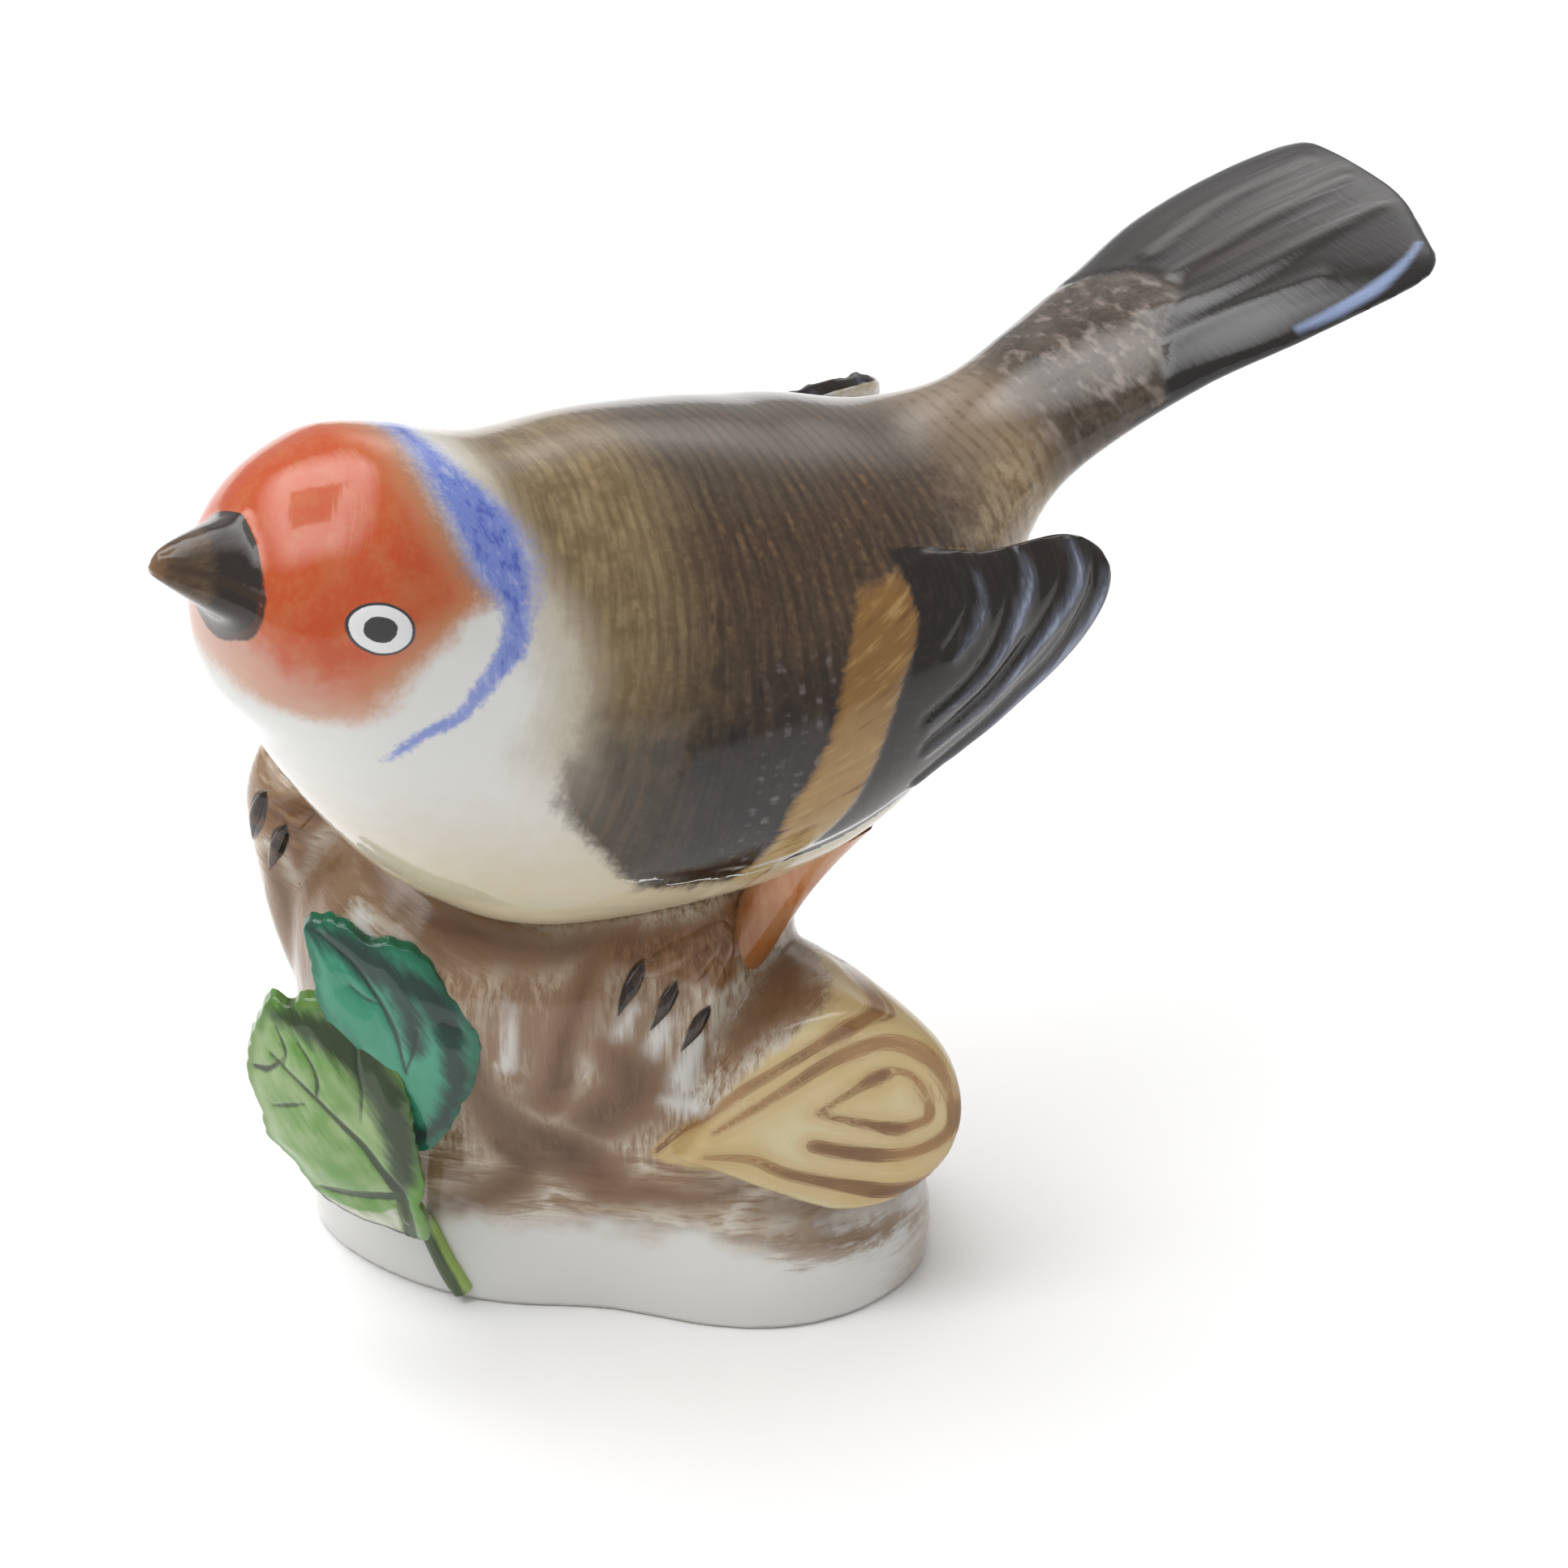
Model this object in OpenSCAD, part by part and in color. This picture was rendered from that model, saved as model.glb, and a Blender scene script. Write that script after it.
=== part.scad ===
// A glazed porcelain songbird perched on a sawn stump, luted together from slip-cast and sprigged pieces.
// Millimetres, +Z up. The bird looks towards -X, its left side faces -Y, and it is symmetric about Y = 0.
// The origin is on the ground underside of the stump.
// The stump has its own long axis, turned from the bird's.

/* [Head and beak] */
// Diameter of the head
head_d = 24; // [20:0.5:27]
// Height of the head's centre above the table
head_z = 63.5; // [62:0.5:66]
// Downward slope of the line from the head into the body, in degrees
neck_slope = 20; // [15:1:24]
// Length of the beak
beak_l = 6.2; // [5:0.1:7.6]
// Diameter of the beak at the face
beak_d = 9.6; // [8:0.1:11]

/* [Body] */
// Distance from the head's centre back to the widest part of the body
body_reach = 26; // [24:0.5:29]
// Width of the body without its wings
body_w = 36.6; // [32:0.2:40]
// Height of the body at its widest part
body_h = 36; // [32:0.5:38]
// Height of the body's middle line above the table
body_z = 51; // [49:0.5:53]

/* [Tail] */
// Length of the tail from its joint with the rump to its tip
tail_l = 30.8; // [26:0.5:37]
// Width of the tail near its end
tail_w = 22; // [18.5:0.5:26]
// Thickness of the tail near its end
tail_t = 3; // [2.5:0.1:3.8]
// Upward slope of the tail, in degrees
tail_slope = 14.5; // [10:0.5:17]

/* [Wings] */
// How far a wing reaches back past the body's widest part
wing_reach = 27; // [24:0.5:31]
// Thickness of a wing
wing_t = 2.4; // [2:0.1:2.9]
// How far a wing stands out from the body's side
wing_proud = 1; // [0.8:0.1:1.3]

/* [Stump] */
// Angle between the bird and the stump's long axis
stump_turn = 32; // [28:1:36]
// Length of the stump's foot along its own axis
foot_l = 46; // [38:0.5:54]
// Width of the stump's foot
foot_w = 31; // [27:0.5:36]
// Height of the upright edge of the foot
foot_h = 7; // [5.5:0.5:8.5]
// Length of the trunk below the bird
trunk_l = 37; // [33:0.5:41]
// Width of the trunk below the bird
trunk_w = 28; // [24:0.5:32]

/* [Side log and perch branch] */
// Diameter of the sawn side log
log_d = 18.4; // [15.5:0.2:21]
// Distance of the log's centre from the origin, along the stump
log_s = 14.4; // [12.5:0.5:16]
// Height of the log's centre above the table
log_z = 19.6; // [18:0.4:21.6]
// How far the sawn face stands in front of the origin
log_face = 13.2; // [12:0.2:15]
// Diameter of the branch under the bird's right foot
perch_d = 11.4; // [9.8:0.2:12.6]
// Height of the top of that branch above the table
perch_z = 41.6; // [39.8:0.2:43.4]

/* [Feet and leaves] */
// Diameter of a leg at its ankle
ankle_d = 5.6; // [4.8:0.1:6.6]
// Diameter of a toe
toe_d = 2.4; // [2:0.1:2.8]
// Length of a claw
claw_l = 3.4; // [2.8:0.1:4]
// Length of the light green leaf
light_leaf_l = 20; // [17:0.5:24]
// Width of the light green leaf
light_leaf_w = 15; // [12.5:0.5:18]
// Length of the dark green leaf
dark_leaf_l = 20; // [17:0.5:24]
// Width of the dark green leaf
dark_leaf_w = 15; // [12.5:0.5:18]
// Thickness of a leaf
leaf_t = 1.4; // [1.2:0.1:1.7]
// Width of the painted twig
twig_w = 2.2; // [1.8:0.1:2.6]

/* [Casting and joints] */
// Wall of the hollow-cast pieces
wall = 2.8; // [2.4:0.1:3.3]
// Diameter of the drain hole in the underside
drain_d = 3.2; // [2.6:0.1:3.8]
// Diameter of the air vents between the hollow pieces
vent_d = 2.4; // [2:0.1:3]
// Diameter of the locating spigot at the neck
neck_pin_d = 9; // [7.5:0.5:10.5]
// Diameter of the locating spigots of the beak and the tail
pin_d = 4; // [3.4:0.1:4.6]
// Length of the locating spigots
pin_l = 1.6; // [1.3:0.1:1.9]
// Slip clearance round a spigot
slip = 0.1; // [0.05:0.05:0.2]

/* [Hidden] */
ring_n = 40;
spans = 2;
fine = 48;

// Catmull-Rom curve through rows of numbers
function blend(a, b, c, d, t) =
    0.5 * (2 * b + (c - a) * t + (2 * a - 5 * b + 4 * c - d) * t * t + (3 * b - a - 3 * c + d) * t * t * t);

function smooth(rows, n) = let (last = len(rows) - 1) [
    for (i = [0 : last - 1], k = [0 : n - 1])
        blend(rows[max(i - 1, 0)], rows[i], rows[i + 1], rows[min(i + 2, last)], k / n),
    rows[last]
];

function smooth_loop(values, n) = let (m = len(values)) [
    for (i = [0 : m - 1], k = [0 : n - 1])
        blend(values[(i + m - 1) % m], values[i], values[(i + 1) % m], values[(i + 2) % m], k / n)
];

// One closed solid through rings of points that each turn anticlockwise about the way the rings follow
module skin(rings) {
    n = len(rings[0]);
    last = len(rings) - 1;
    sides = [
        for (i = [0 : last - 1], j = [0 : n - 1])
            let (k = (j + 1) % n, a = i * n + j, b = i * n + k, c = a + n, d = b + n)
            each [[a, d, b], [a, c, d]]
    ];
    first_cap = [for (j = [0 : n - 1]) j];
    last_cap = [for (j = [n - 1 : -1 : 0]) last * n + j];
    polyhedron([for (ring = rings) each ring], concat([first_cap], sides, [last_cap]));
}

// Makes its children one mesh, at their own size
module one_mesh() {
    resize([0, 0, 0]) children();
}

module on_stump() {
    rotate([0, 0, -stump_turn]) children();
}

// ---- The spine: one row of sections from the face to the tip of the tail ----
// A row is [x, z, slope, half width, rise, drop].
body_x = 3;
head_x = body_x - body_reach;
half_w = body_w / 2;
half_h = body_h / 2;

// A section d past the head's centre: its rise and drop are measured from the neck's line, its middle is sunk
// below that line
function head_row(d, w, rise, drop, sink = 0) = [
    head_x + d * cos(neck_slope) - sink * sin(neck_slope),
    head_z - d * sin(neck_slope) - sink * cos(neck_slope),
    -neck_slope, w, rise + sink, drop - sink
];

// The head is a ball, cut flat where the beak is as wide as it
face_share = sqrt(1 - pow(beak_d / head_d, 2));
function ball_row(share) = let (r = head_d / 2 * sqrt(1 - pow(share * face_share, 2)))
    head_row(-share * face_share * head_d / 2, r, r, r);

tail_x = 35;
tail_z = body_z + 11.2;
tail_arch = 1.5;
tail_skew = 0.13;
tail_half = tail_w / 2;
// A section of the tail, at a share of its length
function tail_row(share, w, rise, drop) = [
    tail_x + tail_l * share * cos(tail_slope),
    tail_z + tail_l * share * sin(tail_slope) + tail_arch * sin(180 * share),
    tail_slope + 8 * cos(180 * share), w, rise, drop
];

spine = concat(
    [for (share = [1, 0.92, 0.74, 0.46]) ball_row(share)],
    [
        head_row(-3, 11.7, 11.7, 13, 0.4),
        head_row(1.6, 12.3, 12, 17, 2),
        head_row(7.6, 13.4, 11.6, 21, 4.2),
        head_row(12.7, 15.4, 12.4, 23, 5),
        head_row(18.5, half_w * 0.94, 13.9, 24.2, 5.2),
        [body_x - 1.5, body_z, -17, half_w, half_h * 1.02, half_h * 1.05],
        [body_x + 6, body_z - 0.4, -8, half_w, half_h * 0.93, half_h],
        [body_x + 13, body_z + 1, 0, half_w * 0.92, half_h * 0.78, half_h * 0.87],
        [body_x + 20, body_z + 4.4, 8, half_w * 0.64, half_h * 0.49, half_h * 0.6],
        [body_x + 26.3, body_z + 8.4, 16, half_w * 0.39, half_h * 0.28, half_h * 0.32],
        [tail_x, tail_z, 19, 7.4, 3.9, 3.9],
        tail_row(0.24, 9, 2.9, 2.9),
        tail_row(0.46, 10.4, tail_t * 0.72, tail_t * 0.62),
        tail_row(0.68, tail_half * 1.01, tail_t * 0.6, tail_t * 0.52),
        tail_row(0.84, tail_half, tail_t * 0.5, tail_t * 0.45),
        tail_row(0.94, tail_half * 0.92, tail_t * 0.42, tail_t * 0.38),
        tail_row(0.985, tail_half * 0.72, tail_t * 0.34, tail_t * 0.31),
        tail_row(1, tail_half * 0.45, tail_t * 0.24, tail_t * 0.22)
    ]
);

neck_at = 7;
tail_at = 14;
last_at = len(spine) - 1;
spine_rows = smooth(spine, spans);

// The tail's right half reaches a little further back than its left
function fan(x) = x > tail_x ? tail_skew * (x - tail_x) / tail_l : 0;
function spine_ring(row, grow = 0) = [
    for (i = [0 : ring_n - 1])
        let (
            a = 360 * i / ring_n,
            lift = ((sin(a) > 0 ? row[4] : row[5]) + grow) * sin(a),
            side = (row[3] + grow) * cos(a)
        )
        [row[0] - lift * sin(row[2]) + side * fan(row[0]), side, row[1] + lift * cos(row[2])]
];

module bird_form(from, to, grow = 0) {
    skin([for (i = [round(from * spans) : round(to * spans)]) spine_ring(spine_rows[i], grow)]);
}

// Stands its children on a section of the spine, +Z along the spine towards the tail
module on_section(station) {
    row = spine[station];
    translate([row[0], 0, row[1]]) rotate([0, 90 - row[2], 0]) children();
}

module pin(d) {
    cylinder(d = d, h = pin_l, $fn = fine);
}

module socket(d) {
    translate([0, 0, -slip]) cylinder(d = d + 2 * slip, h = pin_l + 2 * slip, $fn = fine);
}

module neck_vent() {
    on_section(neck_at) translate([0, 0, -3 * wall]) cylinder(d = vent_d, h = 5 * wall, $fn = fine);
}

belly_vent_x = -5;
module belly_vent() {
    translate([belly_vent_x, 0, body_z - half_h - 3 * wall]) cylinder(d = vent_d, h = 5 * wall, $fn = fine);
}

module head() {
    color("coral") difference() {
        one_mesh() difference() {
            bird_form(0, neck_at);
            bird_form(2, neck_at - 1, -wall);
            neck_vent();
        }
        on_section(neck_at) rotate([180, 0, 0]) socket(neck_pin_d);
        on_section(0) socket(pin_d);
    }
}

module body() {
    color("peru") difference() {
        union() {
            one_mesh() difference() {
                bird_form(neck_at, tail_at);
                bird_form(neck_at + 0.5, tail_at - 2.5, -wall);
                belly_vent();
            }
            on_section(neck_at) rotate([180, 0, 0]) pin(neck_pin_d);
        }
        neck_vent();
        on_section(tail_at) rotate([180, 0, 0]) socket(pin_d);
    }
}

module tail() {
    color("dimgray") {
        one_mesh() bird_form(tail_at, last_at);
        on_section(tail_at) rotate([180, 0, 0]) pin(pin_d);
    }
}

// ---- The beak ----
beak_set = face_share * head_d / 2;
beak_rows = [
    head_row(-beak_set - beak_l, beak_d * 0.05, beak_d * 0.05, beak_d * 0.04),
    head_row(-beak_set - beak_l * 0.93, beak_d * 0.11, beak_d * 0.12, beak_d * 0.1),
    head_row(-beak_set - beak_l * 0.7, beak_d * 0.22, beak_d * 0.25, beak_d * 0.19),
    head_row(-beak_set - beak_l * 0.35, beak_d * 0.36, beak_d * 0.39, beak_d * 0.33),
    head_row(-beak_set, beak_d / 2, beak_d / 2, beak_d / 2)
];

module beak() {
    color("saddlebrown") {
        one_mesh() skin([for (row = smooth(beak_rows, spans)) spine_ring(row)]);
        on_section(0) pin(pin_d);
    }
}

// ---- The wings: curved plates between two angles of a shell round the body ----
// A row is a spine row and [lowest angle, highest angle, thickness].
function wing_row(station, stand, low, high, share) =
    concat(spine[station] + [0, 0, 0, stand, stand, stand], [low, high, wing_t * share]);
wing_x = body_x + wing_reach;
wing_rows = [
    wing_row(neck_at + 1, wing_proud * 0.4, -28, 8, 0.5),
    wing_row(neck_at + 2, wing_proud * 0.8, -31, 30, 0.8),
    wing_row(neck_at + 3, wing_proud, -27, 38, 1),
    wing_row(neck_at + 4, wing_proud * 1.4, -25, 40, 1),
    [wing_x - 8.5, body_z + 2.4, 5, half_w * 0.95, 13, 16, -26, 33, wing_t],
    [wing_x - 2.8, body_z + 3.6, 6, half_w * 0.91, 12.5, 13, -23, 27, wing_t * 0.95],
    [wing_x - 0.7, body_z + 4.2, 6, half_w * 0.89, 11.5, 10, -12, 20, wing_t * 0.8],
    [wing_x, body_z + 4.6, 6, half_w * 0.88, 10.5, 8.8, 0, 14, wing_t * 0.5]
];

wing_n = 12;
function wing_point(row, a, sink) =
    let (lift = ((a > 0 ? row[4] : row[5]) - sink) * sin(a))
    [row[0] - lift * sin(row[2]), -(row[3] - sink) * cos(a), row[1] + lift * cos(row[2])];

// Out along the wing's face, then back along its underside, with both edges thinned
function wing_ring(row) =
    let (angle = [for (i = [0 : wing_n]) row[6] + (row[7] - row[6]) * i / wing_n])
    concat(
        [for (i = [wing_n : -1 : 0]) wing_point(row, angle[i], row[8] * 0.35 * (1 - sin(180 * i / wing_n)))],
        [for (i = [0 : wing_n]) wing_point(row, angle[i], row[8])]
    );

module left_wing() {
    color("darkslategray") one_mesh() difference() {
        skin([for (row = smooth(wing_rows, spans)) wing_ring(row)]);
        bird_form(neck_at - 1, tail_at);
    }
}

module right_wing() {
    color("darkslategray") mirror([0, 1, 0]) left_wing();
}

// ---- The stump, along its own axis ----
// The foot's outline, as shares of its half length and half width every 30 degrees
foot_reach = [1, 1, 0.98, 1, 1.02, 1.04, 1, 0.92, 0.87, 0.82, 1.13, 1.12];
foot_at = [-2.5, 2.5];
trunk_at = [-7.5, 0.5];

// A level is [z, centre along, centre across, half length, half width, share of the foot's own outline]
stump_levels = [
    [0, foot_at[0], foot_at[1], foot_l / 2, foot_w / 2, 1],
    [foot_h * 0.5, foot_at[0], foot_at[1], foot_l / 2 + 0.3, foot_w / 2 + 0.3, 1],
    [foot_h, foot_at[0], foot_at[1], foot_l / 2 - 0.6, foot_w / 2 - 0.6, 0.95],
    [foot_h + 3, -3.5, 2, foot_l / 2 - 2, foot_w / 2 - 1.6, 0.7],
    [16, -6, 1.2, trunk_l / 2 + 1, trunk_w / 2 - 0.8, 0.35],
    [23, trunk_at[0], trunk_at[1], trunk_l / 2, trunk_w / 2, 0.1],
    [29, trunk_at[0], trunk_at[1], trunk_l / 2, trunk_w / 2, 0],
    [33, trunk_at[0], trunk_at[1] + 0.6, trunk_l / 2 - 0.8, trunk_w / 2 - 1.6, 0],
    [37, trunk_at[0], trunk_at[1] + 1, trunk_l / 2 - 4, trunk_w / 2 - 4.5, 0]
];

function stump_ring(level, grow = 0) = let (reach = smooth_loop(foot_reach, 4), n = len(reach)) [
    for (i = [0 : n - 1])
        let (a = 360 * i / n, r = level[5] * reach[i] + 1 - level[5])
        [level[1] + (level[3] + grow) * r * cos(a), level[2] + (level[4] + grow) * r * sin(a), level[0]]
];

module stump_form() {
    on_stump() skin([for (level = smooth(stump_levels, spans)) stump_ring(level)]);
}

// The hollow keeps its wall from the foot, the sides and the bird, and ends below the top of the trunk
cavity_top = 36;
module stump_cavity() {
    levels = smooth(stump_levels, spans);
    low = concat([wall], [for (i = [1 : 5]) levels[0][i]]);
    inner = [for (level = levels) if (level[0] > wall + 1 && level[0] < cavity_top) level];
    difference() {
        on_stump() skin(concat([stump_ring(low, -wall)], [for (level = inner) stump_ring(level, -wall)]));
        bird_form(2, tail_at, wall);
    }
}

drain_at = [-2, 3];
module stump() {
    color("tan") difference() {
        one_mesh() difference() {
            stump_form();
            bird_form(0, tail_at);
            stump_cavity();
            belly_vent();
        }
        translate([drain_at[0], drain_at[1], -1]) cylinder(d = drain_d, h = wall + 2, $fn = fine);
    }
}

// A closed teardrop in the sawn plane, round at the right and drawn out to a point where it meets the trunk
log_r = log_d / 2;
log_point = [-12.8, -4.2];
log_point_turn = 200;
function log_ring(across, shrink, drift) = let (n = 36, r = log_r - shrink) [
    for (i = [0 : n - 1])
        let (
            a = 360 * i / n,
            pull = pow(max(0, cos(a - log_point_turn)), 6),
            rim = [r * cos(a), r * sin(a)],
            p = rim * (1 - pull) + (log_point + [shrink, 0]) * pull
        )
        [log_s + p[0] + drift, across, log_z + p[1]]
];

// Stations of the log from inside the trunk to its sawn face:
// place across the stump, shrink, drift towards the trunk
log_stations = [
    [7, 4.4, -13],
    [3.5, 2.4, -9.5],
    [-1, 1, -5.6],
    [-6.5, 0.3, -2.2],
    [-log_face + 2.6, 0, -0.3],
    [-log_face + 0.8, 0.3, 0],
    [-log_face, 1.3, 0]
];

module log_form() {
    on_stump() skin([for (k = log_stations) log_ring(k[0], k[1], k[2])]);
}

module side_log() {
    color("khaki") one_mesh() difference() {
        log_form();
        stump_form();
        bird_form(0, tail_at);
    }
}

// A round bar through stations of [x, y, z, radius]
function bar_ring(p, along, n) =
    let (
        w = along / norm(along),
        u = let (c = cross([0.3, 0.2, 1], w)) c / norm(c),
        v = cross(w, u)
    )
    [for (i = [0 : n - 1]) let (a = 360 * i / n) [p[0], p[1], p[2]] + p[3] * (cos(a) * u + sin(a) * v)];

module bar(stations, n = 16) {
    rows = smooth(stations, spans);
    last = len(rows) - 1;
    function spot(i) = let (p = rows[max(0, min(last, i))]) [p[0], p[1], p[2]];
    skin([for (i = [0 : last]) bar_ring(rows[i], spot(i + 1) - spot(i - 1), n)]);
}

perch_r = perch_d / 2;
perch_at = [-24, 4];
module perch_form() {
    on_stump() bar([
        [perch_at[0] + 5, perch_at[1] - 1.5, 17, perch_r * 0.8],
        [perch_at[0] + 2.2, perch_at[1] - 0.8, 25, perch_r],
        [perch_at[0] + 0.5, perch_at[1], 33, perch_r],
        [perch_at[0], perch_at[1], perch_z - 4, perch_r],
        [perch_at[0] + 0.4, perch_at[1], perch_z - 1.4, perch_r * 0.8],
        [perch_at[0] + 0.6, perch_at[1], perch_z, perch_r * 0.35]
    ], 28);
}

module perch_branch() {
    color("rosybrown") one_mesh() difference() {
        perch_form();
        stump_form();
        bird_form(0, tail_at);
    }
}

// Cuts a leg or a foot free of all that it stands on and hangs from
module legless() {
    difference() {
        children();
        stump_form();
        bird_form(0, tail_at);
        perch_form();
        log_form();
    }
}

// ---- Legs and feet ----
ankle_r = ankle_d / 2;
left_ankle = [3.8, -10.8, 31];
right_ankle = [-15, 13.6, perch_z - 0.8];

module left_leg_form() {
    bar([[10.5, -9, 42, ankle_r * 1.7], [8, -9.8, 37.5, ankle_r * 1.3], [5.6, -10.4, 34, ankle_r * 1.1],
         [left_ankle[0], left_ankle[1], left_ankle[2], ankle_r * 1.05],
         [left_ankle[0] - 1.6, left_ankle[1] + 0.3, left_ankle[2] - 3.5, ankle_r * 0.8]]);
}

module right_leg_form() {
    bar([[-4, 9, 44, ankle_r * 1.5], [-8.5, 10.5, 42.5, ankle_r * 1.1],
         [right_ankle[0], right_ankle[1], right_ankle[2], ankle_r],
         [right_ankle[0] - 2, right_ankle[1] + 1, right_ankle[2] - 2.6, ankle_r * 0.8]]);
}

module left_leg() {
    color("orangered") one_mesh() legless() left_leg_form();
}

module right_leg() {
    color("orangered") one_mesh() legless() right_leg_form();
}

// Each toe runs from the ankle to a knuckle and its claw root, and then curves down as a claw
toe_r = toe_d / 2;
module toe(ankle, knuckle, root, point) {
    bar([[ankle[0], ankle[1], ankle[2], toe_r * 1.2],
         [knuckle[0], knuckle[1], knuckle[2], toe_r * 1.1],
         [root[0], root[1], root[2], toe_r],
         [root[0] + point[0] * 0.5, root[1] + point[1] * 0.5, root[2] + point[2] * 0.5, toe_r * 0.7],
         [root[0] + point[0], root[1] + point[1], root[2] + point[2], toe_r * 0.2]], 12);
}

module left_foot() {
    claw = claw_l * [-0.35, -0.2, -0.9];
    color("sienna") one_mesh() difference() {
        legless() {
            toe(left_ankle, [-2.4, -10.2, 31.4], [-6.8, -10.8, 30], claw);
            toe(left_ankle, [-0.6, -11.6, 30.6], [-4.4, -12.6, 29], claw);
            toe(left_ankle, [1.4, -12.8, 29.8], [-1.8, -14.2, 27.8], claw);
        }
        left_leg_form();
    }
}

module right_foot() {
    claw = claw_l * [-0.22, -0.1, -0.95];
    color("sienna") one_mesh() difference() {
        legless() {
            toe(right_ankle, [-20, 13.1, perch_z - 0.4], [-21.4, 11.4, perch_z - 4.4], claw);
            toe(right_ankle, [-21.3, 14.9, perch_z + 0.2], [-23.4, 14, perch_z - 4], claw);
            toe(right_ankle, [-21.5, 17.4, perch_z + 0.4], [-23.5, 18.2, perch_z - 3.6], claw);
        }
        right_leg_form();
    }
}

// ---- Leaves: bowed plates with toothed edges ----
leaf_n = 12;
leaf_stations = 20;
leaf_teeth = 5;
tooth_depth = 0.07;

// Half the leaf's width at a share u of its length, as a share of the whole width
function leaf_half(u) =
    let (step = 2 * leaf_teeth * u)
    0.5 * pow(sin(180 * pow(u, 0.8)), 0.7) * (1 + tooth_depth * (step - floor(step)));

module leaf(base, tip, out, width, bow) {
    along = tip - base;
    length = norm(along);
    m = along / length;
    c = let (k = cross(out, m)) k / norm(k);
    n = cross(m, c);
    // A point at a share u of the length and v of the half width, sunk below the upper face
    function spot(u, v, sink) =
        let (half = width * leaf_half(u), rise = bow * (sin(180 * u) - 1.8 * v * v * half / width))
        base + m * length * u + c * half * v + n * (rise - sink);
    skin([
        for (k = [0 : leaf_stations])
            let (u = 0.02 + 0.96 * k / leaf_stations)
            concat(
                [for (j = [0 : leaf_n]) spot(u, 1 - 2 * j / leaf_n, 0)],
                [for (j = [leaf_n : -1 : 0]) spot(u, 1 - 2 * j / leaf_n, leaf_t)]
            )
    ]);
}

light_base = [-16.8, -12, 10.5];
light_way = [-0.6, 0.3, 0.74];
module light_leaf_form() {
    leaf(light_base, light_base + light_leaf_l * light_way, [-0.6, -0.8, 0.1], light_leaf_w, 2);
}

dark_base = [-14.4, -12, 13.5];
dark_way = [-0.42, 0.1, 0.9];
module dark_leaf_form() {
    leaf(dark_base, dark_base + dark_leaf_l * dark_way, [-0.35, -0.93, 0.1], dark_leaf_w, 2);
}

module twig_form() {
    bar([[-16.2, -12, 14, twig_w * 0.4], [-15.6, -11.6, 9, twig_w * 0.5], [-14.6, -11.2, 4, twig_w * 0.5],
         [-13.9, -10.6, 0.6, twig_w * 0.5]], 12);
}

module light_leaf() {
    color("yellowgreen") one_mesh() difference() {
        on_stump() light_leaf_form();
        stump_form();
    }
}

module dark_leaf() {
    color("teal") one_mesh() difference() {
        on_stump() dark_leaf_form();
        on_stump() light_leaf_form();
        stump_form();
    }
}

module twig() {
    color("darkgreen") one_mesh() difference() {
        on_stump() twig_form();
        on_stump() light_leaf_form();
        on_stump() dark_leaf_form();
        stump_form();
    }
}

stump();
side_log();
perch_branch();
body();
head();
beak();
tail();
left_wing();
right_wing();
left_leg();
right_leg();
left_foot();
right_foot();
light_leaf();
dark_leaf();
twig();
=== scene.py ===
"""Visual model of a glazed porcelain songbird on a sawn stump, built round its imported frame.

The castings are taken from the frame, fused as clay is luted, softened, given their relief and cut
apart again at their joints, so that the glaze runs on over each joint. Their hand-painted enamel is
worked out from charts: the ball of the head, the line of the spine, the side of a wing, the blade of
the tail and the sides of the stump. A chart's fields say how far inside a painted shape each point
lies. Lengths in this file are millimetres, and angles are degrees; meshes are made in metres.
"""
import logging
import math
from dataclasses import dataclass, field
from enum import Enum
from typing import Callable, Sequence

import bmesh
import bpy
import numpy as np
from mathutils import Matrix, Vector, noise
from mathutils.bvhtree import BVHTree


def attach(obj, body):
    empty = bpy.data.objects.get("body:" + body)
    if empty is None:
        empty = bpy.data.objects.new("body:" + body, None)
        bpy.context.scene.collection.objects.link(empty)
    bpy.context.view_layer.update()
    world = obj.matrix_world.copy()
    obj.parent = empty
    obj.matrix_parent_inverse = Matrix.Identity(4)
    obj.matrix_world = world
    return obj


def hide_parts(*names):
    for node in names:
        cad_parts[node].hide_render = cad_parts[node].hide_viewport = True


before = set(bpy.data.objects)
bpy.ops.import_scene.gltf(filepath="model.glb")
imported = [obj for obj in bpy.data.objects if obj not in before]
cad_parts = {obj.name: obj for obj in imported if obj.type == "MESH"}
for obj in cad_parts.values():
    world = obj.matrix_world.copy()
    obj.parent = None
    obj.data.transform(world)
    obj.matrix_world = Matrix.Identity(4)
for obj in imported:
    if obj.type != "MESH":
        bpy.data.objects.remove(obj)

MM = 0.001
STUMP_TURN = 32.0   # from the row's axes to the stump's own
OFF = -3.0          # what a field says a little way outside its shape
FAR_OFF = -9.0      # what it says where the shape can't be
LOG = logging.getLogger("songbird")

Piece = bpy.types.Object
Array = np.ndarray
Points = Sequence[tuple[float, ...]]
Colour = tuple[float, float, float]


# ---------------------------------------------------------------- curves and fields

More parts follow.
